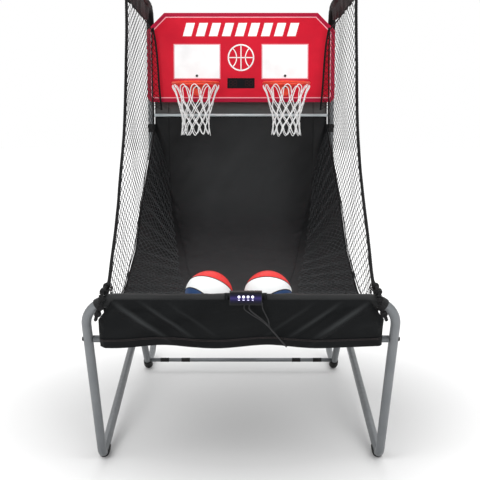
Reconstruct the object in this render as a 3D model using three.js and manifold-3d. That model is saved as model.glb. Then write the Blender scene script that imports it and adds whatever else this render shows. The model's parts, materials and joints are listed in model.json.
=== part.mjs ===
// Two-player folding basketball hoop machine for the home, in millimetres.
// +Z is up, the players stand at -Y, and the origin is on the floor in the middle of the machine.
// The rear frame (uprights, skids, rear legs, net arms) carries the backboard; the front frame (front legs
// and front bar) is bolted to the rear legs at two pivots and swings up for storage.
import * as THREE from 'three';
import { mergeVertices } from 'three/addons/utils/BufferGeometryUtils.js';
import Module from 'manifold-3d';

const wasm = await Module();
wasm.setup();

// ---- driving dimensions ----
const GAP = 0.3;                // clearance between neighbouring pieces
const TUBE_R = 17;              // frame tube, 34 mm across
const TUBE_WALL = 1.5;
const ROD_R = 8;                // thin cross rods
const CROSS_R = 12.5;           // cross bars under the ramp and behind the backboard
const FRONT_X = 529;            // plane of the front legs
const REAR_X = 491;             // plane of the uprights, 4 mm inside the front legs
const FOOT_BEND = 70;           // bend radii of the tube centre line
const CORNER_BEND = 110;

const FRONT_BAR = { y: -1040, z: 688 };
const FRONT_FOOT = { y: -680, z: 12 };      // corner points before rounding
const PIVOT = { y: 420, z: 238 };
const REAR_FOOT = { y: 690, z: 19 };
const UPRIGHT_Y = 1000;
const SKID_END_Z = 42;
const MID_BAR_Y = -50;
const JOINT_Z = 1030;           // joint sleeve half way up the upright
const JOINT_SLEEVE_R = 23;
const ARM_JOINT_Z = 1740;
const ARM_Z = 1905;
const ARM_END = { y: -275, z: 1925 };
const RAIL_TAIL = 50;           // front rail beyond the pivot
const BAR_SPLIT_X = 300;        // front bar plugs into the legs here

const BOARD = { halfWidth: 506, bottom: 1408, top: 1881, front: 955, thick: 12, chamfer: 94, corner: 20 };
const WINDOW = { width: 148, height: 55, z: 1508.5 };
const RIM = { x: 238, y: 800, z: 1502, radius: 120, rod: 6 };
const RIM_BOLT_Z = [1488, 1548];
const ROD_Z = 1338;
const TOP_BAR_Z = 1700;
const SHEET = 3;                // fabric thickness
const RAMP_HALF_WIDTH = 468;
const NET_X = 474.5;
const APRON_HALF_WIDTH = 482;
const SLEEVE_R = 21;
const BALL_R = 87.5;
const CONTROL = { x: 16, z: 702, width: 107, height: 44, back: -1070, front: -1100, wall: 2.5 };
const BUTTON_PITCH = 15;
const CIRCUIT_THICK = 1.6;
const APRON_BAR_Z = 535;
const STRETCHER = { y: 642, radius: 10 };
const BOARD_RAIL = { z: 1600, width: 30, height: 340 };

// ---- materials ----
const finish = (color, roughness, metalness = 0) =>
  new THREE.MeshStandardMaterial({ color, roughness, metalness });
const STEEL_GREY = finish(0x83878a, 0.45, 0.5);
const ROD_SILVER = finish(0xc4cbcc, 0.35, 0.8);
const BOLT_BLACK = finish(0x1c1c1e, 0.5, 0.6);
const RIM_ORANGE = finish(0xd8412c, 0.4, 0.3);
const BOARD_RED = finish(0xc8142c, 0.45);
const FABRIC_BLACK = finish(0x1d1f20, 0.85);
const NET_BLACK = finish(0x0e0e0f, 0.9);
const NET_WHITE = finish(0xf2f2f0, 0.8);
const PLASTIC_BLACK = finish(0x151517, 0.5);
const RUBBER_BLACK = finish(0x101010, 0.9);
const LENS_DARK = finish(0x0a0a0c, 0.15);
const PANEL_BLUE = finish(0x1c1a44, 0.25);
const BUTTON_LIT = finish(0xd9d4ff, 0.3);
const BOARD_GREEN = finish(0x1e5b35, 0.6);
const BALL_SKIN = finish(0xd8d8d4, 0.65);

// ---- solids ----
const machine = new THREE.Group();

// Keeps only positions, joins shared corners and turns the faces outwards.
function closed(geometry) {
  const bare = geometry.clone();
  bare.deleteAttribute('normal');
  bare.deleteAttribute('uv');
  const merged = mergeVertices(bare, 1e-3);
  const [p, index] = [merged.attributes.position, merged.index.array];
  const [a, b, c] = [new THREE.Vector3(), new THREE.Vector3(), new THREE.Vector3()];
  let volume = 0;
  const kept = [];
  for (let i = 0; i < index.length; i += 3) {
    const [u, v, w] = index.subarray(i, i + 3);
    if (u === v || v === w || w === u) continue;
    kept.push(u, v, w);
    b.fromBufferAttribute(p, v).cross(c.fromBufferAttribute(p, w));
    volume += a.fromBufferAttribute(p, u).dot(b);
  }
  merged.setIndex(volume < 0 ? kept.reverse() : kept);
  return merged;
}

const toManifold = (geometry) => {
  const g = closed(geometry);
  return new wasm.Manifold(new wasm.Mesh({
    numProp: 3,
    vertProperties: new Float32Array(g.attributes.position.array),
    triVerts: new Uint32Array(g.index.array),
  }));
};

function fromManifold(solid) {
  const mesh = solid.getMesh();
  const geometry = new THREE.BufferGeometry();
  geometry.setAttribute('position', new THREE.BufferAttribute(mesh.vertProperties, 3));
  geometry.setIndex(new THREE.BufferAttribute(mesh.triVerts, 1));
  return geometry;
}

const join = (first, ...others) =>
  fromManifold(others.reduce((sum, g) => sum.add(toManifold(g)), toManifold(first)));
const cut = (first, ...others) =>
  fromManifold(others.reduce((sum, g) => sum.subtract(toManifold(g)), toManifold(first)));

function add(name, geometry, material) {
  const mesh = new THREE.Mesh(closed(geometry), material);
  mesh.name = name;
  machine.add(mesh);
}

// A piece and its mirror image on the other side of the machine.
function addPair(name, geometryAt, material) {
  add(`${name}_left`, geometryAt(-1), material);
  add(`${name}_right`, geometryAt(1), material);
}

// Outline in (y, z), extruded from x0 to x1.
function alongX(shape, x0, x1) {
  const g = new THREE.ExtrudeGeometry(shape, { depth: x1 - x0, bevelEnabled: false, curveSegments: 8 });
  g.translate(0, 0, x0);
  return g.applyMatrix4(new THREE.Matrix4().makeBasis(
    new THREE.Vector3(0, 1, 0), new THREE.Vector3(0, 0, 1), new THREE.Vector3(1, 0, 0)));
}

// Outline in (x, z), extruded from the rear face towards the players.
function towardsPlayers(shape, rear, front) {
  const g = new THREE.ExtrudeGeometry(shape, { depth: rear - front, bevelEnabled: false, curveSegments: 6 });
  return g.rotateX(Math.PI / 2).translate(0, rear, 0);
}

const block = (x, y, z, sx, sy, sz) => new THREE.BoxGeometry(sx, sy, sz).translate(x, y, z);

// Solid of revolution about the X or Y direction, from [radius, distance] points.
function turnedY(profile, x, y, z, sides = 16) {
  return new THREE.LatheGeometry(profile.map(([r, d]) => new THREE.Vector2(r, d)), sides).translate(x, y, z);
}
function turnedX(profile, x, y, z, sides = 16) {
  const g = new THREE.LatheGeometry(profile.map(([r, d]) => new THREE.Vector2(r, d)), sides);
  return g.rotateZ(-Math.PI / 2).translate(x, y, z);
}

// Solid of revolution about a vertical axis.
function turnedZ(profile, x, y, z, sides = 24) {
  const g = new THREE.LatheGeometry(profile.map(([r, d]) => new THREE.Vector2(r, d)), sides);
  return g.rotateX(Math.PI / 2).translate(x, y, z);
}

// ---- bent tubes ----
// Straight runs joined by round bends. Extrusion steps land on the ends of the runs and along the bends.
class BentLine extends THREE.Curve {
  constructor(corners, radii, perBend) {
    super();
    this.stations = [{ point: corners[0], tangent: corners[1].clone().sub(corners[0]).normalize() }];
    for (let i = 1; i < corners.length - 1; i++) {
      const into = corners[i].clone().sub(corners[i - 1]).normalize();
      const out = corners[i + 1].clone().sub(corners[i]).normalize();
      const turn = into.angleTo(out);
      const axis = into.clone().cross(out).normalize();
      const start = corners[i].clone().addScaledVector(into, -radii[i - 1] * Math.tan(turn / 2));
      const centre = start.clone().addScaledVector(axis.clone().cross(into), radii[i - 1]);
      for (let k = 0; k <= perBend; k++) {
        const angle = (turn * k) / perBend;
        const point = start.clone().sub(centre).applyAxisAngle(axis, angle).add(centre);
        this.stations.push({ point, tangent: into.clone().applyAxisAngle(axis, angle) });
      }
    }
    const last = corners.length - 1;
    const finalTangent = corners[last].clone().sub(corners[last - 1]).normalize();
    this.stations.push({ point: corners[last], tangent: finalTangent });
    this.steps = this.stations.length - 1;
  }
  at(u) { return this.stations[Math.round(u * this.steps)]; }
  getPoint(u) { return this.at(u).point.clone(); }
  getPointAt(u) { return this.getPoint(u); }
  getTangent(u) { return this.at(u).tangent.clone(); }
  getTangentAt(u) { return this.getTangent(u); }
}

const vec = (x, y, z) => new THREE.Vector3(x, y, z);

// Radius of a faceted hole whose flats stay clear of a rod of radius r.
const clearOf = (r, sides) => (r + GAP) / Math.cos(Math.PI / sides);

function disc(radius) {
  const shape = new THREE.Shape();
  shape.absarc(0, 0, radius, 0, 2 * Math.PI);
  return shape;
}

function tube(corners, radii, radius, { wall = 0, perBend = 5, sides = 12 } = {}) {
  const path = new BentLine(corners, radii, perBend);
  const shape = disc(radius);
  if (wall) shape.holes.push(disc(radius - wall));
  return new THREE.ExtrudeGeometry(shape, {
    steps: path.steps, extrudePath: path, bevelEnabled: false, curveSegments: sides / 2,
  });
}

const frameTube = (corners, radii) => tube(corners, radii, TUBE_R, { wall: TUBE_WALL });
const crossTube = (halfLength, y, z, radius) =>
  tube([vec(-halfLength, y, z), vec(halfLength, y, z)], [], radius, { wall: TUBE_WALL });

// ---- frame ----
const onLine = (from, to, y) => from.z + ((to.z - from.z) * (y - from.y)) / (to.y - from.y);
const MID_BAR_Z = onLine(REAR_FOOT, PIVOT, MID_BAR_Y);

const frontLegCorners = (side) => {
  const tailY = PIVOT.y + RAIL_TAIL;
  return [
    vec(side * FRONT_X, tailY, onLine(FRONT_FOOT, PIVOT, tailY)),
    vec(side * FRONT_X, FRONT_FOOT.y, FRONT_FOOT.z),
    vec(side * FRONT_X, FRONT_BAR.y, FRONT_BAR.z),
    vec(side * BAR_SPLIT_X, FRONT_BAR.y, FRONT_BAR.z),
  ];
};
const FRONT_LEG_BENDS = [FOOT_BEND, CORNER_BEND];

const rearTubeCorners = (side) => [
  vec(side * REAR_X, MID_BAR_Y, MID_BAR_Z),
  vec(side * REAR_X, REAR_FOOT.y, REAR_FOOT.z),
  vec(side * REAR_X, UPRIGHT_Y, SKID_END_Z),
  vec(side * REAR_X, UPRIGHT_Y, JOINT_Z),
];
const REAR_TUBE_BENDS = [FOOT_BEND, CORNER_BEND];

const BOLT_R = 5;
const pivotHole = (side) => turnedX(
  [[0, -40], [BOLT_R + GAP, -40], [BOLT_R + GAP, 40], [0, 40]],
  side * (side > 0 ? REAR_X : FRONT_X) + 19, PIVOT.y, PIVOT.z);

function buildFrontFrame() {
  addPair('front_leg',
    (s) => cut(frameTube(frontLegCorners(s), FRONT_LEG_BENDS), pivotHole(s)), STEEL_GREY);
  add('front_bar', crossTube(BAR_SPLIT_X - GAP, FRONT_BAR.y, FRONT_BAR.z, TUBE_R), STEEL_GREY);
  const apronBarY = FRONT_FOOT.y +
    ((FRONT_BAR.y - FRONT_FOOT.y) * (APRON_BAR_Z - FRONT_FOOT.z)) / (FRONT_BAR.z - FRONT_FOOT.z);
  add('apron_bar', crossTube(FRONT_X - TUBE_R - GAP, apronBarY, APRON_BAR_Z, CROSS_R), STEEL_GREY);
}

function buildRearFrame() {
  addPair('rear_leg_tube',
    (s) => cut(frameTube(rearTubeCorners(s), REAR_TUBE_BENDS), pivotHole(s)), STEEL_GREY);
  const inside = REAR_X - TUBE_R - GAP;
  add('ramp_support_bar', crossTube(inside, MID_BAR_Y, MID_BAR_Z, CROSS_R), STEEL_GREY);
  const stretcherZ = onLine(REAR_FOOT, PIVOT, STRETCHER.y);
  add('rear_stretcher', crossTube(inside, STRETCHER.y, stretcherZ, STRETCHER.radius), STEEL_GREY);
  add('upper_cross_rod', crossTube(inside, UPRIGHT_Y, ROD_Z, ROD_R), ROD_SILVER);
  add('top_cross_bar', crossTube(inside, UPRIGHT_Y, TOP_BAR_Z, CROSS_R), STEEL_GREY);
  addPair('upright', (s) => frameTube(
    [vec(s * REAR_X, UPRIGHT_Y, JOINT_Z + GAP), vec(s * REAR_X, UPRIGHT_Y, ARM_JOINT_Z)], []), STEEL_GREY);
  addPair('net_arm', (s) => frameTube([
    vec(s * REAR_X, UPRIGHT_Y, ARM_JOINT_Z + GAP),
    vec(s * REAR_X, UPRIGHT_Y, ARM_Z),
    vec(s * REAR_X, ARM_END.y, ARM_END.z),
  ], [CORNER_BEND]), STEEL_GREY);
}

// Black plastic sleeve over the joint of the two upright tubes.
function buildJointSleeves() {
  const [inner, outer, half] = [clearOf(TUBE_R, 24), JOINT_SLEEVE_R, 30];
  addPair('upright_joint_sleeve', (s) => turnedZ(
    [[inner, -half], [outer, -half], [outer, half], [inner, half], [inner, -half]],
    s * REAR_X, UPRIGHT_Y, JOINT_Z), PLASTIC_BLACK);
}

// Cap over the open end of each net arm.
function buildArmCaps() {
  const [inner, outer, depth, end] = [clearOf(TUBE_R, 16), 20, 22, 3];
  addPair('arm_end_cap', (s) => turnedY(
    [[0, -end], [outer, -end], [outer, depth], [inner, depth], [inner, 0], [0, 0]],
    s * REAR_X, ARM_END.y - 1.0, ARM_END.z), PLASTIC_BLACK);
}

// Rubber feet: blocks under the foot bends, hollowed to the tube that sits in them.
function buildFeet() {
  const tubeR = TUBE_R + GAP;
  const [width, length, height] = [30, 90, 15];
  const footBlock = (x, y) => block(x, y, height / 2, width, length, height);
  addPair('front_foot', (s) => cut(
    footBlock(s * FRONT_X, FRONT_FOOT.y + 24),
    tube(frontLegCorners(s), FRONT_LEG_BENDS, tubeR)), RUBBER_BLACK);
  addPair('rear_foot', (s) => cut(
    footBlock(s * REAR_X, REAR_FOOT.y + 6),
    tube(rearTubeCorners(s), REAR_TUBE_BENDS, tubeR)), RUBBER_BLACK);
}

// Bolt through the front rail and the rear leg, with its head outside and its nut inside.
function buildPivots() {
  const outer = FRONT_X + TUBE_R + GAP;
  const inner = REAR_X - TUBE_R - GAP;
  const profile = [
    [0, inner - 8], [9, inner - 8], [9, inner], [BOLT_R, inner],
    [BOLT_R, outer], [11, outer], [11, outer + 5], [0, outer + 5],
  ];
  addPair('pivot_bolt',
    (s) => turnedX(profile.map(([r, d]) => [r, s * d]), 0, PIVOT.y, PIVOT.z), BOLT_BLACK);
  const spacer = FRONT_X - REAR_X - 2 * TUBE_R - 2 * GAP;
  addPair('pivot_washer', (s) => turnedX(
    [[BOLT_R + GAP, -spacer / 2], [15, -spacer / 2], [15, spacer / 2], [BOLT_R + GAP, spacer / 2],
      [BOLT_R + GAP, -spacer / 2]],
    (s * (FRONT_X + REAR_X)) / 2, PIVOT.y, PIVOT.z), PLASTIC_BLACK);
}

// ---- backboard, scoring and rims ----
function outline(points) {
  const shape = new THREE.Shape();
  points.forEach(([u, v], i) => (i ? shape.lineTo(u, v) : shape.moveTo(u, v)));
  shape.closePath();
  return shape;
}

const rectangle = (x, z, width, height) => outline([
  [x - width / 2, z - height / 2], [x + width / 2, z - height / 2],
  [x + width / 2, z + height / 2], [x - width / 2, z + height / 2]]);

function hole(x, z, radius) {
  const path = new THREE.Path();
  path.absarc(x, z, radius, 0, 2 * Math.PI);
  return path;
}

const SCREW_R = 3;

function buildBackboard() {
  const { halfWidth: w, bottom, top, front, thick, chamfer: c, corner: k } = BOARD;
  const board = outline([
    [-w + k, bottom], [w - k, bottom], [w, bottom + k], [w, top - c],
    [w - c, top], [c - w, top], [-w, top - c], [-w, bottom + k]]);
  board.holes.push(rectangle(0, WINDOW.z, WINDOW.width, WINDOW.height));
  for (const s of [-1, 1]) {
    RIM_BOLT_Z.forEach((z) => board.holes.push(hole(s * RIM.x, z, SCREW_R + GAP)));
  }
  add('backboard', towardsPlayers(board, front + thick, front), BOARD_RED);

  // Flat rail between the board and each upright.
  addPair('backboard_rail', (s) => towardsPlayers(
    rectangle(s * REAR_X, BOARD_RAIL.z, BOARD_RAIL.width, BOARD_RAIL.height),
    UPRIGHT_Y - TUBE_R - GAP, front + thick + GAP), STEEL_GREY);
}

// Screw along Y: a low round head at the front and a nut at the back.
const screw = (x, z, headFace, nutFace) => turnedY([
  [0, headFace - 4], [7, headFace - 4], [7, headFace], [SCREW_R, headFace],
  [SCREW_R, nutFace], [6, nutFace], [6, nutFace + 5], [0, nutFace + 5],
], x, 0, z, 12);

const PLATE = 4;                // rim bracket plate

function buildScrews() {
  const { front, thick } = BOARD;
  const names = ['lower', 'upper'];
  const headFace = [front - PLATE - 2 * GAP, front - GAP];
  RIM_BOLT_Z.forEach((z, i) => addPair(`rim_bolt_${names[i]}`,
    (s) => screw(s * RIM.x, z, headFace[i], front + thick + GAP), BOLT_BLACK));
}

function buildRims() {
  const { x, y, z, radius, rod } = RIM;
  const face = BOARD.front - GAP;
  const rim = (s) => {
    const ring = new THREE.TorusGeometry(radius, rod, 8, 28).translate(s * x, y, z);
    const plate = outline([
      [-45, -4], [-12, -60], [12, -60], [45, -4], [45, 10], [-45, 10],
    ].map(([u, v]) => [u + s * x, z + v]));
    plate.holes.push(hole(s * x, RIM_BOLT_Z[0], SCREW_R + GAP));
    const shelfBack = face - PLATE / 2;
    const shelfFront = y + radius;
    const shelf = new THREE.ExtrudeGeometry(outline([
      [s * x - 38, shelfBack], [s * x - 30, shelfFront - 6],
      [s * x + 30, shelfFront - 6], [s * x + 38, shelfBack]]),
    { depth: PLATE, bevelEnabled: false }).translate(0, 0, z - PLATE / 2);
    return join(towardsPlayers(plate, face, face - PLATE), shelf, ring);
  };
  addPair('rim', rim, RIM_ORANGE);

  // Net: a sleeve of cord that narrows and flares again, hung just under the ring.
  const drop = [[118, z - 8], [96, z - 90], [68, z - 190], [74, z - 235], [82, z - 275]];
  const net = [...drop, ...drop.slice().reverse().map(([r, d]) => [r - SHEET, d]), drop[0]];
  addPair('rim_net', (s) => turnedZ(net, s * x, y, 0, 16), NET_WHITE);

  // Sensor that feels each ball strike, screwed to the back of the board below the rim bolts.
  const back = BOARD.front + BOARD.thick + GAP;
  addPair('ball_sensor', (s) => block(s * x, back + 10, z - 76, 40, 20, 26), PLASTIC_BLACK);
}

function openBox(x, y0, y1, z, width, height, wall) {
  const depth = y1 - y0;
  const shell = block(x, (y0 + y1) / 2, z, width, depth, height);
  const pocket = block(x, (y0 + y1) / 2 - wall, z, width - 2 * wall, depth, height - 2 * wall);
  return cut(shell, pocket);
}

function buildScoreUnit() {
  const { front, thick } = BOARD;
  const back = front + thick + GAP;
  add('score_housing', openBox(0, back, back + 36, WINDOW.z, 200, 90, 2.5), PLASTIC_BLACK);
  add('score_display', block(0, back + 10, WINDOW.z, 156, 14, 62), PLASTIC_BLACK);
  add('score_circuit_board', block(0, back + 24, WINDOW.z, 180, CIRCUIT_THICK, 78), BOARD_GREEN);
  add('score_lens',
    block(0, front + 4, WINDOW.z, WINDOW.width - 2 * GAP, 4, WINDOW.height - 2 * GAP), LENS_DARK);
}

// ---- fabric ----
// Middle of the ramp fabric in (y, z): down behind the front bar into the ball tray, a gentle rise,
// then the tall back curtain that ends behind the backboard.
const RAMP_LINE = new THREE.SplineCurve([
  [-1013, 672], [-955, 614], [-880, 577], [-790, 571], [-420, 612], [-50, 653], [350, 712], [680, 800],
  [870, 935], [970, 1120], [1011, 1300], [1013, 1430],
].map(([y, z]) => new THREE.Vector2(y, z)));

// Height of the fabric's raised side edge, as (y, z) points joined by straight runs. Ahead of the first
// point the sides lie flat.
const SIDE_EDGE = [[-420, 612], [-20, 724], [264, 915], [545, 1062], [1000, 1290], [1013, 1296]];

function sideEdgeZ(y) {
  const next = SIDE_EDGE.findIndex(([edgeY]) => edgeY > y);
  if (next <= 0) return 0;
  const [[y0, z0], [y1, z1]] = [SIDE_EDGE[next - 1], SIDE_EDGE[next]];
  return z0 + ((z1 - z0) * (y - y0)) / (y1 - y0);
}

// The middle panel widens towards the back; beyond it the sides slope up, so that balls roll to the middle.
const middleHalfWidth = (y) => 220 + 0.15 * (y + 150);

// Point of the fabric: u runs from the front bar to the backboard, and across is -2 and 2 at the side edges
// and -1 and 1 at the folds.
function rampPoint(u, across) {
  const line = RAMP_LINE.getPointAt(u);
  const fold = middleHalfWidth(line.x);
  const rise = Math.max(0, sideEdgeZ(line.x) - line.y);
  const side = Math.max(0, Math.abs(across) - 1);
  const x = Math.min(1, Math.abs(across)) * fold + side * (RAMP_HALF_WIDTH - fold);
  return vec(Math.sign(across) * x, line.x, line.y + side * rise);
}

// Closed sheet of even thickness round a surface given as point(row, column).
function sheetSolid(rows, columns, thickness, point) {
  const positions = [];
  const cell = (row, column) => row * (columns + 1) + column;
  const count = (rows + 1) * (columns + 1);
  for (const half of [-thickness / 2, thickness / 2]) {
    for (let row = 0; row <= rows; row++) {
      for (let column = 0; column <= columns; column++) {
        const along = point(Math.min(row + 1, rows), column).sub(point(Math.max(row - 1, 0), column));
        const across = point(row, Math.min(column + 1, columns)).sub(point(row, Math.max(column - 1, 0)));
        const normal = across.cross(along).normalize();
        positions.push(...point(row, column).addScaledVector(normal, half).toArray());
      }
    }
  }
  const index = [];
  const quad = (a, b, c, d) => index.push(a, b, c, a, c, d);
  for (let row = 0; row < rows; row++) {
    for (let column = 0; column < columns; column++) {
      const [a, b, c, d] = [
        cell(row, column), cell(row, column + 1), cell(row + 1, column + 1), cell(row + 1, column)];
      quad(a + count, b + count, c + count, d + count);
      quad(d, c, b, a);
    }
  }
  const ring = [];
  for (let column = 0; column < columns; column++) ring.push(cell(0, column));
  for (let row = 0; row < rows; row++) ring.push(cell(row, columns));
  for (let column = columns; column > 0; column--) ring.push(cell(rows, column));
  for (let row = rows; row > 0; row--) ring.push(cell(row, 0));
  ring.forEach((from, i) => {
    const to = ring[(i + 1) % ring.length];
    quad(from, to, to + count, from + count);
  });
  const geometry = new THREE.BufferGeometry();
  geometry.setAttribute('position', new THREE.BufferAttribute(new Float32Array(positions), 3));
  geometry.setIndex(index);
  return geometry;
}

function buildRamp() {
  const [rows, columns] = [32, 8];
  add('ramp_fabric', sheetSolid(rows, columns, SHEET,
    (row, column) => rampPoint(row / rows, (4 * column) / columns - 2)), FABRIC_BLACK);
}

function buildFrontFabric() {
  const tubeSleeve = disc(SLEEVE_R);
  tubeSleeve.holes.push(disc(clearOf(TUBE_R, 16)));
  const half = FRONT_X - CORNER_BEND - 4;
  const ends = [-half, half].map((x) => vec(x, FRONT_BAR.y, FRONT_BAR.z));
  const path = new BentLine(ends, [], 1);
  add('front_bar_sleeve', new THREE.ExtrudeGeometry(tubeSleeve, {
    steps: 1, extrudePath: path, bevelEnabled: false, curveSegments: 8 }), FABRIC_BLACK);
  const [top, low] = [{ y: FRONT_BAR.y - SLEEVE_R - 5, z: FRONT_BAR.z + 4 }, { y: -991, z: 520 }];
  const apron = outline([[top.y, top.z], [top.y - SHEET, top.z], [low.y - SHEET, low.z], [low.y, low.z]]);
  add('front_apron', alongX(apron, -APRON_HALF_WIDTH, APRON_HALF_WIDTH), FABRIC_BLACK);
}

// Side net between the arm, the ramp edge and the front corner, with a hollow front edge.
function buildSideNets() {
  const topZ = ARM_Z - 115;
  const [rearY, frontTopY, frontLowY] = [940, -200, -985];
  const net = new THREE.Shape();
  net.moveTo(rearY, topZ);
  net.lineTo(frontTopY, topZ + 12);
  net.quadraticCurveTo(-250, 950, frontLowY, 690);
  const clear = 10;
  for (let i = 1; i <= 30; i++) {
    const p = RAMP_LINE.getPointAt(i / 30);
    if (p.x > frontLowY && p.x < rearY) net.lineTo(p.x, Math.max(p.y, sideEdgeZ(p.x)) + clear);
  }
  net.closePath();
  addPair('side_net', (s) => alongX(net, s * NET_X - SHEET / 2, s * NET_X + SHEET / 2), NET_BLACK);
}

// Fabric sleeve on each arm: a loop round the tube and a flap that hangs from it.
function buildArmSleeves() {
  const [inner, outer, flap, half] = [TUBE_R + 1, 20.5, 108, 2.5];
  const start = Math.asin(half / outer);
  const profile = new THREE.Shape();
  profile.moveTo(half, -flap);
  profile.absarc(0, 0, outer, start - Math.PI / 2, 1.5 * Math.PI - start);
  profile.lineTo(-half, -flap);
  profile.closePath();
  profile.holes.push(disc(inner));
  const [rearY, frontY] = [860, -235];
  addPair('arm_sleeve', (s) => {
    const rise = (ARM_END.z - ARM_Z) / (UPRIGHT_Y - ARM_END.y);
    const g = towardsPlayers(profile, rearY, frontY);
    const shear = new THREE.Matrix4().set(1, 0, 0, s * REAR_X, 0, 1, 0, 0,
      0, -rise, 1, ARM_Z + rise * UPRIGHT_Y, 0, 0, 0, 1);
    return g.applyMatrix4(shear);
  }, FABRIC_BLACK);
}

// ---- balls ----
// Hollow ball, open only at its valve, which points to the back.
function ballShell() {
  const [wall, valve, rings] = [3, 2.5, 11];
  const skin = (radius) => Array.from({ length: rings + 1 }, (_, i) => {
    const edge = Math.asin(valve / radius);
    const angle = edge + ((Math.PI - edge) * i) / rings;
    return [i === rings ? 0 : radius * Math.sin(angle), radius * Math.cos(angle)];
  });
  const outside = skin(BALL_R);
  return [...outside, ...skin(BALL_R - wall).reverse(), outside[0]];
}

function buildBalls() {
  const rest = RAMP_LINE.getPoint(3 / 11);
  const places = { ball_left: [-116, -800], ball_right: [98, -796] };
  for (const [name, [x, y]] of Object.entries(places)) {
    const z = rest.y + SHEET / 2 + BALL_R + 1.2;
    add(name, turnedY(ballShell(), x, y, z, 18), BALL_SKIN);
  }
}

// ---- controller on the front bar ----
const buttonX = [-1.5, -0.5, 0.5, 1.5].map((i) => CONTROL.x + i * BUTTON_PITCH);
const BUTTON_Z = CONTROL.z + 6;
const BUTTON_R = 4.6;
const BUTTON_FACE = 4.8;        // how far a button stands in front of the housing

function buildController() {
  const { x, z, width, height, back, front, wall } = CONTROL;
  add('controller_housing', openBox(x, front, back, z, width, height, wall), PLASTIC_BLACK);
  const panel = rectangle(x, z, width - 4, height - 4);
  buttonX.forEach((u) => panel.holes.push(hole(u, BUTTON_Z, BUTTON_R + GAP)));
  const panelBack = front - GAP;
  add('controller_panel', towardsPlayers(panel, panelBack, panelBack - 2), PANEL_BLUE);
  const margin = 2 * wall + 4;
  add('controller_circuit_board',
    block(x, front + 6.5, z, width - margin, CIRCUIT_THICK, height - margin), BOARD_GREEN);
  const names = ['power', 'back', 'forward', 'start'];
  const face = front - BUTTON_FACE;
  const flange = panelBack + GAP;
  buttonX.forEach((u, i) => add(`button_${names[i]}`, turnedY(
    [[0, face], [BUTTON_R, face], [BUTTON_R, flange], [6, flange], [6, flange + 1.5], [0, flange + 1.5]],
    u, 0, BUTTON_Z, 12), BUTTON_LIT));
  const cableTop = z - height / 2 - GAP;
  add('controller_cable', tube([
    vec(x + 12, -1082, cableTop), vec(x + 14, -1080, 655), vec(x + 60, -1064, 600), vec(x + 140, -1020, 520),
  ], [20, 60], 2.5, { sides: 8, perBend: 3 }), PLASTIC_BLACK);
}

buildFrontFrame();
buildRearFrame();
buildJointSleeves();
buildArmCaps();
buildFeet();
buildPivots();
buildBackboard();
buildScrews();
buildRims();
buildScoreUnit();
buildRamp();
buildFrontFabric();
buildSideNets();
buildArmSleeves();
buildBalls();
buildController();

// The pieces above are placed from the frame's datum; this moves the middle of the length to the origin.
const frontmost = CONTROL.front - BUTTON_FACE;
const rearmost = UPRIGHT_Y + JOINT_SLEEVE_R;
machine.position.y = -(frontmost + rearmost) / 2;

export default machine;
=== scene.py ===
"""Looks of a two-player folding basketball hoop machine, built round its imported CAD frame.

Metres, +Z up, the players stand at -Y. Steel tubes are smooth sweeps on the CAD centre lines, fabrics are
draped sheets, nets are real cords, and small hard parts keep their CAD shape with softened edges.
"""

import json
import math

import bpy
import numpy as np
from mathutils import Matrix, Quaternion, Vector, noise


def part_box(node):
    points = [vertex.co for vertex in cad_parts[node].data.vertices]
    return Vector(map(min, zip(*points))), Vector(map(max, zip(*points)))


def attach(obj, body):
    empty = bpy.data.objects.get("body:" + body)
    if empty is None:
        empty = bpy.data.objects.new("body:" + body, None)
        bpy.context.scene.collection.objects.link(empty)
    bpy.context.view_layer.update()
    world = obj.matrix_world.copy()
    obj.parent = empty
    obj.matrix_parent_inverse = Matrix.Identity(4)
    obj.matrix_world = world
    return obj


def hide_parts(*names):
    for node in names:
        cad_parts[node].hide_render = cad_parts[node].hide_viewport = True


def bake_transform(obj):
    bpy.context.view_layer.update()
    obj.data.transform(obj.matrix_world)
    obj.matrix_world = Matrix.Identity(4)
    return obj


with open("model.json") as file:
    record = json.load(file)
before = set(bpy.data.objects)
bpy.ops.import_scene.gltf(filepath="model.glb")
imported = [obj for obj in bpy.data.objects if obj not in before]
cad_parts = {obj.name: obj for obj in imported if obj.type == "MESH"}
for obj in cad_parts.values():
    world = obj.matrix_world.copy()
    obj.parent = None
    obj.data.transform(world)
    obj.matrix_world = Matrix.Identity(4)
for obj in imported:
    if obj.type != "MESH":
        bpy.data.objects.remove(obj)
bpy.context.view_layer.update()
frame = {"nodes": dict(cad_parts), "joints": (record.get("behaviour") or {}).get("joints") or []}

SIDES = {"left": -1, "right": 1}
REAR, FRONT = "rear_frame", "front_frame"


def middle(node):
    low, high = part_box(node)
    return (low + high) / 2


# ---- places taken from the frame ----
PIVOT = Vector(next(j for j in frame["joints"] if j["name"] == "front_frame_fold")["pos_m"])
BAR = middle("front_bar")
TUBE_R = (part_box("front_bar")[1].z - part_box("front_bar")[0].z) / 2
FRONT_X = middle("front_foot_right").x
REAR_X = middle("upright_right").x
UPRIGHT_Y = middle("upright_right").y
JOINT_Z = middle("upright_joint_sleeve_right").z
ARM_START_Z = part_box("net_arm_right")[0].z
BOARD_LOW, BOARD_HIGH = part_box("backboard")
RAMP_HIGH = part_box("ramp_fabric")[1]
NET_X = middle("side_net_right").x
DATUM = UPRIGHT_Y - 1.0             # the CAD places its pieces from a line 1 m in front of the uprights

# Corners of the tube centre lines before they are bent, as (y, z)
FRONT_FOOT = (DATUM - 0.680, 0.012)
REAR_FOOT = (DATUM + 0.690, 0.019)
SKID_END_Z = 0.042
ARM_Z = 1.905
ARM_END = (DATUM - 0.275, 1.925)
FOOT_BEND, CORNER_BEND = 0.070, 0.110
RAIL_TAIL = 0.050
TUBE_WALL = 0.0015
GAP = 0.0003                        # between a part and the tube it sits on
AXIS_R, FINE_AXIS_R = 0.0005, 0.0002    # turned profiles end this close to their axis


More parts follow.
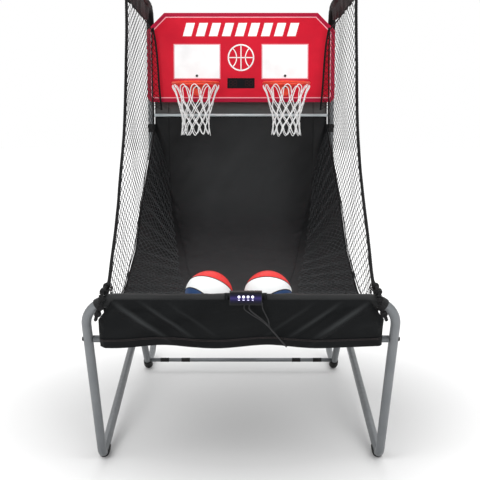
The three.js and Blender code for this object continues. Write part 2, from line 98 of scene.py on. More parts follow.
# ---- mesh building ----
class Build:
    """Collects vertices, faces and uv coordinates of one piece."""

    def __init__(self):
        self.verts, self.faces, self.count = [], [], 0

    def add(self, verts, faces):
        verts = np.asarray(verts, float).reshape(-1, 3)
        self.verts.append(verts)
        self.faces.extend(tuple(int(i) + self.count for i in f) for f in faces)
        self.count += len(verts)
        return self

    def object(self, name, mat, smooth=True, uv=None):
        mesh = bpy.data.meshes.new(name)
        mesh.from_pydata(np.vstack(self.verts).tolist(), [], self.faces)
        mesh.validate()
        mesh.polygons.foreach_set("use_smooth", [smooth] * len(mesh.polygons))
        if uv is not None:
            layer = mesh.uv_layers.new(name="metres")
            corner = np.zeros(len(mesh.loops), np.int32)
            mesh.loops.foreach_get("vertex_index", corner)
            layer.data.foreach_set("uv", np.asarray(uv, np.float32)[corner].ravel())
        obj = bpy.data.objects.new(name, mesh)
        bpy.context.scene.collection.objects.link(obj)
        obj.data.materials.append(mat)
        return obj


def tangents(path, closed):
    if closed:
        t = np.roll(path, -1, 0) - np.roll(path, 1, 0)
    else:
        t = np.gradient(path, axis=0)
    return t / np.linalg.norm(t, axis=1)[:, None]


def rings(path, radius, sides, closed=False):
    """Ring of points round each point of a path, without twist."""
    path = np.asarray([tuple(p) for p in path], float)
    radius = np.broadcast_to(radius, len(path))
    t = tangents(path, closed)
    start = np.cross(t[0], (0, 0, 1) if abs(t[0][2]) < 0.9 else (1, 0, 0))
    u = start / np.linalg.norm(start)
    angle = np.linspace(0, 2 * math.pi, sides, endpoint=False)
    out = []
    for p, direction, r in zip(path, t, radius):
        u = u - direction * (u @ direction)
        u = u / np.linalg.norm(u)
        w = np.cross(direction, u)
        out.append(p + r * (np.outer(np.cos(angle), u) + np.outer(np.sin(angle), w)))
    return np.vstack(out)


def ring_faces(count, sides, closed=False, flip=False):
    faces = []
    for i in range(count if closed else count - 1):
        j = (i + 1) % count
        for k in range(sides):
            n = (k + 1) % sides
            face = (i * sides + k, i * sides + n, j * sides + n, j * sides + k)
            faces.append(face[::-1] if flip else face)
    return faces


def end_faces(count, sides):
    """The two flat ends that close a row of rings."""
    last = (count - 1) * sides
    return [tuple(range(sides))[::-1], tuple(range(last, last + sides))]


def cord(build, path, radius, sides=8, closed=False):
    """Solid round cord along a path."""
    ends = [] if closed else end_faces(len(path), sides)
    build.add(rings(path, radius, sides, closed), ring_faces(len(path), sides, closed) + ends)


def pipe(build, path, radius, wall, sides=32):
    """Hollow tube with open ends."""
    n = len(path)
    outer, inner = rings(path, radius, sides), rings(path, radius - wall, sides)
    faces = ring_faces(n, sides)
    faces += [tuple(i + n * sides for i in f) for f in ring_faces(n, sides, flip=True)]
    for row, flip in ((0, True), (n - 1, False)):
        for k in range(sides):
            a, b = row * sides + k, row * sides + (k + 1) % sides
            face = (a, b, b + n * sides, a + n * sides)
            faces.append(face[::-1] if flip else face)
    build.add(np.vstack([outer, inner]), faces)


def short_cords(build, start, end, middle_r, end_r, sides=4):
    """Many straight cords at once, thicker at their ends, where the knots are."""
    start, end = np.asarray(start, float), np.asarray(end, float)
    t = end - start
    t /= np.linalg.norm(t, axis=1)[:, None]
    u = np.cross(t, (0.31, 0.17, 0.93))
    u /= np.linalg.norm(u, axis=1)[:, None]
    w = np.cross(t, u)
    angle = np.linspace(0, 2 * math.pi, sides, endpoint=False)
    round_points = np.cos(angle)[:, None, None] * u + np.sin(angle)[:, None, None] * w
    stations = [(start, end_r), ((start + end) / 2, middle_r), (end, end_r)]
    verts = np.stack([p + r * round_points for p, r in stations])
    verts = verts.transpose(2, 0, 1, 3).reshape(-1, 3)
    block = ring_faces(3, sides) + end_faces(3, sides)
    size = 3 * sides
    faces = [tuple(i + size * k for i in f) for k in range(len(start)) for f in block]
    build.add(verts, faces)


def turn_to(axis):
    """Rotation from straight up to an axis."""
    return Vector((0, 0, 1)).rotation_difference(Vector(axis).normalized())


def turned(build, profile, centre, axis, sides=40):
    """Solid of revolution from (radius, distance) points along an axis."""
    turn = turn_to(axis)
    verts = []
    for r, d in profile:
        for k in range(sides):
            a = 2 * math.pi * k / sides
            point = Vector((r * math.cos(a), r * math.sin(a), d))
            verts.append(tuple(turn @ point + Vector(centre)))
    build.add(verts, ring_faces(len(profile), sides) + end_faces(len(profile), sides))


def prism_faces(n):
    """Both flat faces on an outline of n points, and the sides between them."""
    sides = [((k + 1) % n, k, k + n, (k + 1) % n + n) for k in range(n)]
    return [tuple(range(n)), tuple(range(n, 2 * n))[::-1]] + sides


def prism(build, points, y_front, y_back):
    """Flat outline in (x, z), thick along Y."""
    verts = [(x, y, z) for y in (y_front, y_back) for x, z in points]
    build.add(verts, prism_faces(len(points)))


def sheet(rows, columns, point):
    """Grid surface from point(u, v) with u and v from 0 to 1, and its uv coordinates in metres."""
    grid = np.array([[tuple(point(i / rows, j / columns)) for j in range(columns + 1)]
                     for i in range(rows + 1)], float)
    along = np.zeros(grid.shape[:2])
    across = np.zeros(grid.shape[:2])
    along[1:] = np.cumsum(np.linalg.norm(np.diff(grid, axis=0), axis=2), axis=0)
    across[:, 1:] = np.cumsum(np.linalg.norm(np.diff(grid, axis=1), axis=2), axis=1)
    build = Build()
    c = columns + 1
    faces = [(i * c + j, i * c + j + 1, (i + 1) * c + j + 1, (i + 1) * c + j)
             for i in range(rows) for j in range(columns)]
    build.add(grid, faces)
    return build, np.stack([across.ravel(), along.ravel()], 1)


def rounded_path(corners, radii, steps=12):
    """Corner points joined by straight runs and round bends."""
    corners = [Vector(c) for c in corners]
    points = [corners[0]]
    for before, corner, after, radius in zip(corners, corners[1:], corners[2:], radii):
        into, out = (corner - before).normalized(), (after - corner).normalized()
        turn, axis = into.angle(out), into.cross(out).normalized()
        start = corner - into * radius * math.tan(turn / 2)
        centre = start + axis.cross(into) * radius
        points += [centre + Quaternion(axis, turn * k / steps) @ (start - centre) for k in range(steps + 1)]
    return points + [corners[-1]]


def smooth_line(points, steps=8):
    """Curve through points (Catmull-Rom)."""
    p = [Vector(points[0])] + [Vector(q) for q in points] + [Vector(points[-1])]
    line = []
    for a, b, c, d in zip(p, p[1:], p[2:], p[3:]):
        for k in range(steps):
            t = k / steps
            line.append(0.5 * (2 * b + (c - a) * t + (2 * a - 5 * b + 4 * c - d) * t ** 2
                               + (3 * b - a - 3 * c + d) * t ** 3))
    return line + [p[-1]]


def soften(obj, width):
    """Rounds the sharp edges of a hard part."""
    mod = obj.modifiers.new("soft_edges", "BEVEL")
    mod.width, mod.segments, mod.limit_method = width, 2, "ANGLE"
    mod.angle_limit = math.radians(40)
    return obj


def finish_piece(obj, body, slot, *nodes):
    """Rides on a body and stands for the CAD nodes named. Its slot argument is not used."""
    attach(obj, body)
    if nodes:
        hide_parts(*nodes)
    return obj


# ---- materials ----
class Shader:
    """A principled material with short calls for the nodes used here."""

    def __init__(self, name, color, roughness, metallic=0.0, uv=False, **inputs):
        self.mat = bpy.data.materials.new(name)
        self.mat.use_nodes = True
        self.tree = self.mat.node_tree
        self.bsdf = self.tree.nodes["Principled BSDF"]
        self.bsdf.inputs["Base Color"].default_value = (*color, 1)
        self.bsdf.inputs["Roughness"].default_value = roughness
        self.bsdf.inputs["Metallic"].default_value = metallic
        for key, value in inputs.items():
            self.bsdf.inputs[key.replace("_", " ")].default_value = value
        self.where = self.node("ShaderNodeTexCoord").outputs["UV" if uv else "Object"]

    def node(self, kind, **settings):
        made = self.tree.nodes.new(kind)
        for key, value in settings.items():
            setattr(made, key, value)
        return made

    def link(self, source, target):
        self.tree.links.new(source, target)

    def math(self, operation, a, b=0.0):
        made = self.node("ShaderNodeMath", operation=operation)
        for socket, value in zip(made.inputs, (a, b)):
            if isinstance(value, (int, float)):
                socket.default_value = value
            else:
                self.link(value, socket)
        return made.outputs[0]

    def grain(self, scale, detail=3.0, where=None):
        made = self.node("ShaderNodeTexNoise")
        made.inputs["Scale"].default_value = scale
        made.inputs["Detail"].default_value = detail
        self.link(where or self.where, made.inputs["Vector"])
        return made.outputs["Fac"]

    def axes(self, where=None):
        """X, Y and Z of a coordinate."""
        split = self.node("ShaderNodeSeparateXYZ")
        self.link(where or self.where, split.inputs[0])
        return split.outputs

    def cells(self, scale):
        made = self.node("ShaderNodeTexVoronoi")
        made.inputs["Scale"].default_value = scale
        self.link(self.where, made.inputs["Vector"])
        return made.outputs["Distance"]

    def ramp(self, value, stops, target):
        made = self.node("ShaderNodeValToRGB")
        ramp = made.color_ramp
        ramp.elements[0].position, ramp.elements[1].position = stops[0][0], stops[-1][0]
        for place, _ in stops[1:-1]:
            ramp.elements.new(place)
        for element, (_, color) in zip(ramp.elements, stops):
            element.color = (*color, 1) if isinstance(color, tuple) else (color, color, color, 1)
        self.link(value, made.inputs["Fac"])
        self.link(made.outputs["Color"], target)
        return made

    def vary(self, target, scale, low, high):
        """Lets an input wander between two values with soft noise."""
        self.ramp(self.grain(scale), [(0.35, low), (0.65, high)], self.bsdf.inputs[target])
        return self

    def tint(self, scale, dark, light):
        return self.vary("Base Color", scale, dark, light)

    def gloss(self, scale, low, high):
        return self.vary("Roughness", scale, low, high)

    def bump(self, height, distance, strength=1.0):
        made = self.node("ShaderNodeBump")
        made.inputs["Distance"].default_value = distance
        made.inputs["Strength"].default_value = strength
        self.link(height, made.inputs["Height"])
        if self.bsdf.inputs["Normal"].is_linked:
            self.link(self.bsdf.inputs["Normal"].links[0].from_socket, made.inputs["Normal"])
        self.link(made.outputs["Normal"], self.bsdf.inputs["Normal"])
        return self

    def weave(self, threads_per_metre):
        """Height of a plain weave: over and under, in both directions."""
        waves = [self.math("SINE", self.math("MULTIPLY", axis, threads_per_metre * math.pi))
                 for axis in self.axes()[:2]]
        return self.math("MULTIPLY", *waves)


def map_range(tree, value, limits, **settings):
    """Maps a value from one range to another. limits: from low, from high, to low, to high."""
    made = tree.nodes.new("ShaderNodeMapRange")
    for key, setting in settings.items():
        setattr(made, key, setting)
    tree.links.new(value, made.inputs["Value"])
    for key, limit in zip(("From Min", "From Max", "To Min", "To Max"), limits):
        made.inputs[key].default_value = limit
    return made.outputs["Result"]


def steel_paint():
    s = Shader("grey_powder_coat", (0.145, 0.154, 0.162), 0.38, 0.35)
    s.tint(14, (0.138, 0.147, 0.155), (0.154, 0.163, 0.171)).gloss(40, 0.34, 0.42)
    return s.bump(s.grain(900, 2), 0.0002, 0.25).mat


def rod_paint():
    s = Shader("silver_coat", (0.62, 0.69, 0.71), 0.32, 0.3)
    s.tint(20, (0.58, 0.65, 0.67), (0.68, 0.74, 0.76)).gloss(60, 0.28, 0.36)
    return s.bump(s.grain(800, 2), 0.0002, 0.25).mat


def black_fabric(name, dark, light, shine, threads=900):
    """Woven nylon. Its shine is the share of light it reflects, not its colour."""
    s = Shader(name, dark, 0.5, uv=True, Specular_IOR_Level=shine)
    s.tint(7, dark, light).gloss(5, 0.42, 0.6)
    s.bump(s.weave(threads), 0.0003, 0.5)
    return s.bump(s.grain(28, 4), 0.0035, 0.35)


TOP_STRIP = RAMP_HIGH.z - middle("upper_cross_rod").z    # paler ramp fabric above the cross rod


def ramp_fabric():
    """The middle of the ramp and the strip above the cross rod are paler, with soft painted sheen streaks
    down it.
    """
    s = black_fabric("ramp_nylon", (0.006, 0.0065, 0.007), (0.012, 0.013, 0.014), 0.16)
    place = s.axes(s.node("ShaderNodeTexCoord").outputs["Object"])
    pale_middle = map_range(s.tree, s.math("ABSOLUTE", place["X"]), (0.16, 0.36, 0.32, 0.05),
                            interpolation_type="SMOOTHSTEP")
    above_rod = s.math("GREATER_THAN", s.axes()["Y"], RAMP_LENGTH[-1] - TOP_STRIP)
    # Painted sheen: long soft streaks down the ramp that lighten its colour.
    stretched = s.node("ShaderNodeVectorMath", operation="MULTIPLY")
    s.link(s.where, stretched.inputs[0])
    stretched.inputs[1].default_value = (16, 1.6, 1)
    painted_sheen_streaks = s.math("MULTIPLY", s.grain(1.0, 3, stretched.outputs["Vector"]), 0.16)
    share = s.math("ADD", s.math("MAXIMUM", pale_middle, above_rod), painted_sheen_streaks)
    s.ramp(share, [(0.08, (0.004, 0.0044, 0.005)), (0.44, (0.017, 0.018, 0.019)),
                   (1.1, (0.072, 0.073, 0.072))], s.bsdf.inputs["Base Color"])
    return s.mat


COATED_NYLON = (0.0009, 0.0013, 0.0017), (0.002, 0.0026, 0.0031), 0.11     # dark, light, shine
# Folds that run from the top corners to the lower middle: distance from the middle, height, width. The
# height also sets how strong the painted highlight along that fold is.
APRON_FOLDS = [(0.435, 0.014, 0.016), (0.342, 0.009, 0.013), (0.255, 0.004, 0.012)]
FOLD_LEAN = 0.22                    # how far each fold moves inwards down the apron's height


def apron_fabric():
    """Coated nylon with painted highlights along its folds: paler bands in its colour where light would
    catch them.
    """
    s = black_fabric("coated_nylon_painted_fold_highlights", *COATED_NYLON)
    low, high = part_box("front_apron")
    place = s.axes(s.node("ShaderNodeTexCoord").outputs["Object"])
    x = s.math("ABSOLUTE", place["X"])
    down = s.math("DIVIDE", s.math("SUBTRACT", high.z, place["Z"]), high.z - low.z)
    leaning = s.math("ADD", x, s.math("MULTIPLY", down, FOLD_LEAN))
    # Painted highlight: a paler band along each fold, fading out towards the top and the bottom of the
    # apron.
    painted_fold_highlight = 0.0
    for start, height, width in APRON_FOLDS:
        off = s.math("ABSOLUTE", s.math("SUBTRACT", leaning, start))
        band = s.math("SUBTRACT", 1.0, s.math("DIVIDE", off, 1.2 * width))
        painted_fold_highlight = s.math("MAXIMUM", painted_fold_highlight, s.math("MULTIPLY", band, height / APRON_FOLDS[0][1]))
    ends = s.math("MULTIPLY", s.math("MULTIPLY", down, s.math("SUBTRACT", 0.85, down)), 5.5)
    mix = s.node("ShaderNodeMix", data_type="RGBA", clamp_factor=True)
    colour = s.bsdf.inputs["Base Color"]
    s.link(s.math("MULTIPLY", painted_fold_highlight, s.math("MAXIMUM", ends, 0.0)), mix.inputs["Factor"])
    s.link(colour.links[0].from_socket, mix.inputs[6])      # the two colours of a Mix node are 6 and 7
    # colour of the painted fold highlight
    mix.inputs[7].default_value = (0.024, 0.026, 0.027, 1)
    s.link(mix.outputs[2], colour)
    return s.mat


def cord_material(name, dark, light, roughness):
    s = Shader(name, dark, roughness, Specular_IOR_Level=0.2)
    s.tint(160, dark, light)
    return s.bump(s.grain(1300, 2), 0.0006, 0.6).mat


def hard_plastic(name, color, roughness=0.42):
    s = Shader(name, color, roughness, Specular_IOR_Level=0.3)
    s.tint(50, tuple(0.8 * c for c in color), tuple(1.25 * c for c in color))
    return s.bump(s.cells(1800), 0.00015, 0.35).mat


def printed_board(name, color):
    s = Shader(name, color, 0.4, Specular_IOR_Level=0.12)
    s.tint(9, tuple(0.94 * c for c in color), tuple(1.05 * c for c in color)).gloss(30, 0.34, 0.46)
    return s.bump(s.grain(500, 2), 0.0001, 0.2).mat


def rim_paint():
    s = Shader("rim_gloss_coat", (0.8, 0.05, 0.02), 0.3, Specular_IOR_Level=0.35)
    s.tint(60, (0.74, 0.04, 0.016), (0.86, 0.07, 0.028))
    return s.bump(s.grain(700, 2), 0.0002, 0.25).mat


def smoked_lens():
    s = Shader("smoked_lens", (0.006, 0.006, 0.008), 0.12, Specular_IOR_Level=0.15)
    return s.gloss(25, 0.08, 0.16).mat


def lit_panel():
    """Dark film that glows violet round the buttons and is black towards the bottom."""
    s = Shader("blue_printed_film", (0.004, 0.003, 0.014), 0.4, Specular_IOR_Level=0.12)
    middle_z = middle("button_power").z - 0.005
    distance = s.math("ABSOLUTE", s.math("SUBTRACT", s.axes()["Z"], middle_z))
    near = s.math("SUBTRACT", 1.0, s.math("MULTIPLY", distance, 55.0))
    s.ramp(near, [(0.0, (0.006, 0.006, 0.007)), (0.5, (0.006, 0.005, 0.018)), (1.0, (0.020, 0.014, 0.070))],
           s.bsdf.inputs["Base Color"])
    s.ramp(near, [(0.0, (0.0, 0.0, 0.0)), (0.5, (0.001, 0.001, 0.005)), (1.0, (0.012, 0.009, 0.050))],
           s.bsdf.inputs["Emission Color"])
    s.bsdf.inputs["Emission Strength"].default_value = 1.0
    return s.bump(s.grain(500, 2), 0.0001, 0.2).mat


def glow(name, color, strength):
    s = Shader(name, tuple(0.5 * c for c in color), 0.3)
    s.bsdf.inputs["Emission Color"].default_value = (*color, 1)
    s.ramp(s.grain(500, 1), [(0.3, 0.85), (0.7, 1.0)], s.bsdf.inputs["Base Color"])
    s.bsdf.inputs["Emission Strength"].default_value = strength
    return s.mat


BALL_SEAMS = (0.25, 0.50)           # red and blue seam, as a share of the radius along their axes


def ball_skin(name, centre, axes, radius):
    """White rubber with a red cap round one axis and a blue cap round the other."""
    s = Shader(name, (0.8, 0.8, 0.8), 0.42, Specular_IOR_Level=0.3)
    local = s.node("ShaderNodeVectorMath", operation="SUBTRACT")
    s.link(s.where, local.inputs[0])
    local.inputs[1].default_value = tuple(centre)
    inside_cap = []
    for axis, seam in zip(axes, BALL_SEAMS):
        along = s.node("ShaderNodeVectorMath", operation="DOT_PRODUCT")
        s.link(local.outputs[0], along.inputs[0])
        along.inputs[1].default_value = tuple(axis)
        inside_cap.append(s.math("GREATER_THAN", along.outputs["Value"], seam * radius))
    choice = s.math("ADD", s.math("SUBTRACT", *inside_cap), 1.0)
    red, white, blue = (0.62, 0.016, 0.014), (0.74, 0.75, 0.75), (0.008, 0.04, 0.13)
    bands = s.ramp(s.math("MULTIPLY", choice, 0.5), [(0.0, blue), (0.25, white), (0.75, red)],
                   s.bsdf.inputs["Base Color"])
    bands.color_ramp.interpolation = "CONSTANT"
    return s.bump(s.cells(420), 0.0006, 0.55).mat


STEEL = steel_paint()
ROD = rod_paint()
RIM_PAINT = rim_paint()
BAR_FABRIC = black_fabric("bar_nylon", (0.006, 0.0065, 0.007), (0.011, 0.0115, 0.012), 0.2).mat
APRON_FABRIC = apron_fabric()
HEM_FABRIC = black_fabric("hem_nylon", *COATED_NYLON).mat
ARM_FABRIC = black_fabric("arm_nylon", (0.003, 0.003, 0.0032), (0.006, 0.006, 0.0064), 0.07).mat
NET_BLACK = cord_material("black_net_cord", (0.003, 0.003, 0.003), (0.008, 0.008, 0.009), 0.8)
# Painted light: a paler grey copy of the black net cord, for the net's lower part that lies face-up on the
# ramp.
NET_CORD_PAINTED_LIGHT = cord_material("net_cord_painted_light", (0.020, 0.021, 0.022), (0.055, 0.057, 0.060), 0.65)
NET_WHITE = cord_material("white_net_cord", (0.78, 0.79, 0.79), (0.92, 0.92, 0.92), 0.7)
THREAD = cord_material("thread", (0.045, 0.034, 0.034), (0.075, 0.055, 0.055), 0.6)
PLASTIC = hard_plastic("black_moulded_plastic", (0.012, 0.012, 0.013))
RUBBER = hard_plastic("black_rubber", (0.008, 0.008, 0.008), 0.75)
BOLT = hard_plastic("black_oxide", (0.015, 0.015, 0.016), 0.35)
GREEN = printed_board("green_solder_mask", (0.01, 0.1, 0.03))
PANEL = lit_panel()
LENS = smoked_lens()
BOARD_RED = printed_board("board_red", (0.60, 0.008, 0.027))
BAND_RED = printed_board("board_dark_red", (0.38, 0.006, 0.035))
LINE_PINK = printed_board("board_pale_line", (0.84, 0.36, 0.42))
PRINT_WHITE = printed_board("board_white", (0.93, 0.93, 0.93))


# ---- steel frame ----
def on_line(a, b, y):
    return a[1] + (b[1] - a[1]) * (y - a[0]) / (b[0] - a[0])


def steel_tube(node, path, body, radius=TUBE_R, mat=STEEL, slot="frame_steel"):
    build = Build()
    pipe(build, path, radius, TUBE_WALL)
    finish_piece(build.object(node + "_fine", mat), body, slot, node)


def front_leg_corners(side):
    tail_y = PIVOT.y + RAIL_TAIL
    x = side * FRONT_X
    return [(x, tail_y, on_line(FRONT_FOOT, (PIVOT.y, PIVOT.z), tail_y)), (x, *FRONT_FOOT),
            (x, BAR.y, BAR.z), (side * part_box("front_bar")[1].x, BAR.y, BAR.z)]


def rear_tube_corners(side):
    x, y = side * REAR_X, middle("ramp_support_bar").y
    return [(x, y, on_line(REAR_FOOT, (PIVOT.y, PIVOT.z), y)), (x, *REAR_FOOT),
            (x, UPRIGHT_Y, SKID_END_Z), (x, UPRIGHT_Y, JOINT_Z)]


def arm_corners(side):
    x = side * REAR_X
    return [(x, UPRIGHT_Y, ARM_START_Z), (x, UPRIGHT_Y, ARM_Z), (x, *ARM_END)]


def build_tubes():
    for name, side in SIDES.items():
        bends = [FOOT_BEND, CORNER_BEND]
        steel_tube(f"front_leg_{name}", rounded_path(front_leg_corners(side), bends), FRONT)
        steel_tube(f"rear_leg_tube_{name}", rounded_path(rear_tube_corners(side), bends), REAR)
        steel_tube(f"net_arm_{name}", rounded_path(arm_corners(side), [CORNER_BEND]), REAR)
        x = side * REAR_X
        upright = [(x, UPRIGHT_Y, JOINT_Z + GAP), (x, UPRIGHT_Y, ARM_START_Z - GAP)]
        steel_tube(f"upright_{name}", upright, REAR)


def build_cross_tubes():
    for node, body in (("front_bar", FRONT), ("apron_bar", FRONT), ("ramp_support_bar", REAR),
                       ("rear_stretcher", REAR), ("top_cross_bar", REAR), ("upper_cross_rod", REAR)):
        low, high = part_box(node)
        y, z = middle(node).y, middle(node).z
        is_rod = node == "upper_cross_rod"
        steel_tube(node, [(low.x, y, z), (high.x, y, z)], body, (high.z - low.z) / 2,
                   ROD if is_rod else STEEL, "rod_steel" if is_rod else "frame_steel")


STRETCHER_BANDS = (-0.40, -0.29, 0.29, 0.40)    # middle of each band
BAND_HALF, BAND_STANDS_OUT, BAND_WALL = 0.022, 0.0008, 0.0007


def build_stretcher_bands():
    """Short black bands round the rear stretcher, two near each end."""
    low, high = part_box("rear_stretcher")
    y, z = middle("rear_stretcher").y, middle("rear_stretcher").z
    radius = (high.z - low.z) / 2 + BAND_STANDS_OUT
    build = Build()
    for x in STRETCHER_BANDS:
        pipe(build, [(x - BAND_HALF, y, z), (x + BAND_HALF, y, z)], radius, BAND_WALL)
    finish_piece(build.object("stretcher_bands", RUBBER), REAR, "rubber")


def build_joint_sleeves():
    """Moulded sleeve over the joint of each upright, with a fine groove round its middle."""
    inner, lip, groove, sides = TUBE_R + GAP, 0.003, 0.001, 40
    angle = [2 * math.pi * k / sides for k in range(sides)]
    for name in SIDES:
        node = f"upright_joint_sleeve_{name}"
        low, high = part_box(node)
        centre = middle(node)
        r, half = (high.x - low.x) / 2, (high.z - low.z) / 2
        profile = [(inner, -half), (r - lip, -half), (r, lip - half), (r, -lip / 2), (r - groove, 0),
                   (r, lip / 2), (r, half - lip), (r - lip, half), (inner, half)]
        verts = [(centre.x + q * math.cos(a), centre.y + q * math.sin(a), centre.z + d)
                 for q, d in profile for a in angle]
        build = Build()
        build.add(verts, ring_faces(len(profile), sides, closed=True))
        finish_piece(build.object(f"joint_sleeve_{name}_fine", PLASTIC), REAR, "black_plastic", node)


def build_arm_caps():
    """Plastic cup over the open end of each arm."""
    inner, lip = TUBE_R + GAP, 0.004
    for name in SIDES:
        node = f"arm_end_cap_{name}"
        low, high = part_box(node)
        r, depth = (high.x - low.x) / 2, high.y - low.y
        profile = [(AXIS_R, 0), (r - lip, 0), (r - lip / 3, lip / 3), (r, lip), (r, depth), (inner, depth),
                   (inner, lip), (AXIS_R, lip)]
        build = Build()
        turned(build, profile, (middle(node).x, low.y, middle(node).z), (0, 1, 0))
        finish_piece(build.object(f"{node}_fine", PLASTIC), REAR, "black_plastic", node)


CAP_WRAP = math.radians(105)        # how far a foot cap reaches round its tube, to either side
CAP_REACH, CAP_PAST = 0.032, 5      # its length along the rail, and its steps past the bend's lowest point
CAP_WALL, CAP_SWELL = 0.0012, 0.0044    # its thickness over the tube, and how much thicker it gets below


def build_feet():
    """Moulded cap on the rail side of each foot bend, gripping the tube and flat on the floor."""
    for name, side in SIDES.items():
        foot_cap(f"front_foot_{name}", front_leg_corners(side), FRONT)
        foot_cap(f"rear_foot_{name}", rear_tube_corners(side), REAR)


def foot_cap(node, corners, body):
    bend = rounded_path(corners[:3], [FOOT_BEND], 30)[1:-1]
    lowest = min(range(len(bend)), key=lambda k: bend[k].z)
    back = (bend[0] - bend[1]).normalized()
    line = [bend[0] + back * CAP_REACH * k / 4 for k in (4, 3, 2, 1)] + bend[:lowest + CAP_PAST]
    forward = [Vector(t) for t in tangents(np.array([tuple(p) for p in line]), False)]
    wrap = np.linspace(-CAP_WRAP, CAP_WRAP, 29)
    last = len(line) - 1
    verts = []
    for k, (p, t) in enumerate(zip(line, forward)):
        across = Vector((1, 0, 0)) if t.y < 0 else Vector((-1, 0, 0))
        down = across.cross(t)
        swell = CAP_SWELL * min(1.0, 0.45 + k / 6, 0.45 + (last - k) / 6)    # less at both ends
        for angle in wrap:
            reach = TUBE_R + CAP_WALL + swell * math.cos(angle / 2)
            place = p + (down * math.cos(angle) + across * math.sin(angle)) * reach
            verts.append((place.x, place.y, max(0.0, place.z)))
        for angle in wrap[::-1]:
            verts.append(tuple(p + (down * math.cos(angle) + across * math.sin(angle)) * (TUBE_R + GAP)))
    ring = 2 * len(wrap)
    faces = ring_faces(len(line), ring)
    for start, flip in ((0, True), (last * ring, False)):
        for k in range(len(wrap) - 1):
            face = (start + k, start + k + 1, start + ring - 2 - k, start + ring - 1 - k)
            faces.append(face[::-1] if flip else face)
    build = Build()
    build.add(verts, faces)
    finish_piece(build.object(f"{node}_cap", RUBBER), body, "rubber", node)


def build_apron_bar_ends():
    """Bolt heads on the outside of the legs where the apron bar is fastened."""
    centre = middle("apron_bar")
    head = [(AXIS_R, 0.0), (0.008, 0.0), (0.0075, 0.0035), (0.006, 0.005), (AXIS_R, 0.005)]
    sunk = 0.0006
    for name, side in SIDES.items():
        build = Build()
        face = side * (FRONT_X + TUBE_R - sunk)
        turned(build, head, (face, centre.y, centre.z), (side, 0, 0), 24)
        finish_piece(build.object(f"apron_bar_bolt_{name}", BOLT), FRONT, "black_hardware")


# ---- hard parts that keep their CAD shape ----
HOUSING_EDGE, SMALL_EDGE = 0.0018, 0.0006   # width of their softened edges


def dress_cad_parts():
    looks = {
        PLASTIC: ["ball_sensor_left", "ball_sensor_right", "score_housing", "score_display",
                  "pivot_washer_left", "pivot_washer_right", "controller_housing"],
        BOLT: [f"{n}_{s}" for n in ("pivot_bolt", "rim_bolt_lower", "rim_bolt_upper") for s in SIDES],
        STEEL: ["backboard_rail_left", "backboard_rail_right"],
        GREEN: ["score_circuit_board", "controller_circuit_board"],
        LENS: ["score_lens"],
        PANEL: ["controller_panel"],
        BOARD_RED: ["backboard"],
    }
    for mat, nodes in looks.items():
        for node in nodes:
            obj = frame["nodes"][node]
            obj.data.materials.clear()
            obj.data.materials.append(mat)
            soften(obj, HOUSING_EDGE if "housing" in node else SMALL_EDGE)


# ---- backboard graphics ----
def inset(points, distance):
    """Convex outline moved inwards, corners kept sharp. Points run anticlockwise."""
    n, out = len(points), []
    for k in range(n):
        a, b, c = (Vector(points[(k + i - 1) % n]) for i in range(3))
        u, w = (b - a).normalized(), (c - b).normalized()
        inward = [Vector((-d.y, d.x)) for d in (u, w)]
        bisector = (inward[0] + inward[1]).normalized()
        out.append(tuple(b + bisector * distance / bisector.dot(inward[0])))
    return out


def frame_strip(build, points, outer, inner, y_front, y_back):
    """Closed strip between two insets of one outline."""
    a, b = inset(points, outer), inset(points, inner)
    n = len(points)
    verts = [(x, y, z) for y in (y_front, y_back) for ring in (a, b) for x, z in ring]
    faces = []
    for k in range(n):
        m = (k + 1) % n
        front = (k, m, n + m, n + k)
        faces += [front, tuple(i + 2 * n for i in front[::-1])]
        faces += [(m, k, 2 * n + k, 2 * n + m), (n + k, n + m, 3 * n + m, 3 * n + k)]
    build.add(verts, faces)


PRINT, PRINT_BACK = 0.0004, 0.00005     # how far the film's two faces stand out of the board


def board_outline():
    w, low, high = BOARD_HIGH.x, BOARD_LOW.z, BOARD_HIGH.z
    chamfer, corner = 0.094, 0.020
    return [(-w + corner, low), (w - corner, low), (w, low + corner), (w, high - chamfer),
            (w - chamfer, high), (chamfer - w, high), (-w, high - chamfer), (-w, low + corner)]


def decal(name, mat, draw, *shape):
    """Thin print on the board's face, in a shape that the function draw adds to the mesh."""
    build = Build()
    draw(build, *shape, BOARD_LOW.y - PRINT, BOARD_LOW.y - PRINT_BACK)
    finish_piece(build.object(name, mat, smooth=False), REAR, "board_red")


def rectangle(x, z, width, height):
    return [(x - width / 2, z - height / 2), (x + width / 2, z - height / 2),
            (x + width / 2, z + height / 2), (x - width / 2, z + height / 2)]


TARGET = {"x": 0.237, "z": 1.624, "width": 0.252, "height": 0.186}


def build_board_graphics():
    outline = board_outline()
    decal("board_edge_band", BAND_RED, frame_strip, outline, 0.001, 0.019)
    decal("board_pale_line", LINE_PINK, frame_strip, outline, 0.0205, 0.0255)
    for name, side in SIDES.items():
        area = rectangle(side * TARGET["x"], TARGET["z"], TARGET["width"], TARGET["height"])
        decal(f"target_field_{name}", PRINT_WHITE, prism, inset(area, 0.005))
        decal(f"target_border_{name}", LINE_PINK, frame_strip, area, 0.0, 0.0047)
    decal("board_title_bars", PRINT_WHITE, draw_title_bars)
    decal("board_ball_picture", PRINT_WHITE, draw_ball_picture)


def draw_title_bars(build, front, back):
    """Row of nine leaning bars in place of a title."""
    bar, pitch, lean, low, high = 0.046, 0.070, 0.020, 1.758, 1.828
    for k in range(-4, 5):
        x = k * pitch
        prism(build, [(x - bar / 2 - lean / 2, low), (x + bar / 2 - lean / 2, low),
                      (x + bar / 2 + lean / 2, high), (x - bar / 2 + lean / 2, high)], front, back)


def ribbon(build, line, width, front, back):
    """Flat line of even width drawn on the board."""
    line = [Vector(p) for p in line]
    for a, b in zip(line, line[1:]):
        side = (b - a).normalized() * width / 2
        side = Vector((-side.y, side.x))
        prism(build, [tuple(a - side), tuple(b - side), tuple(b + side), tuple(a + side)], front, back)


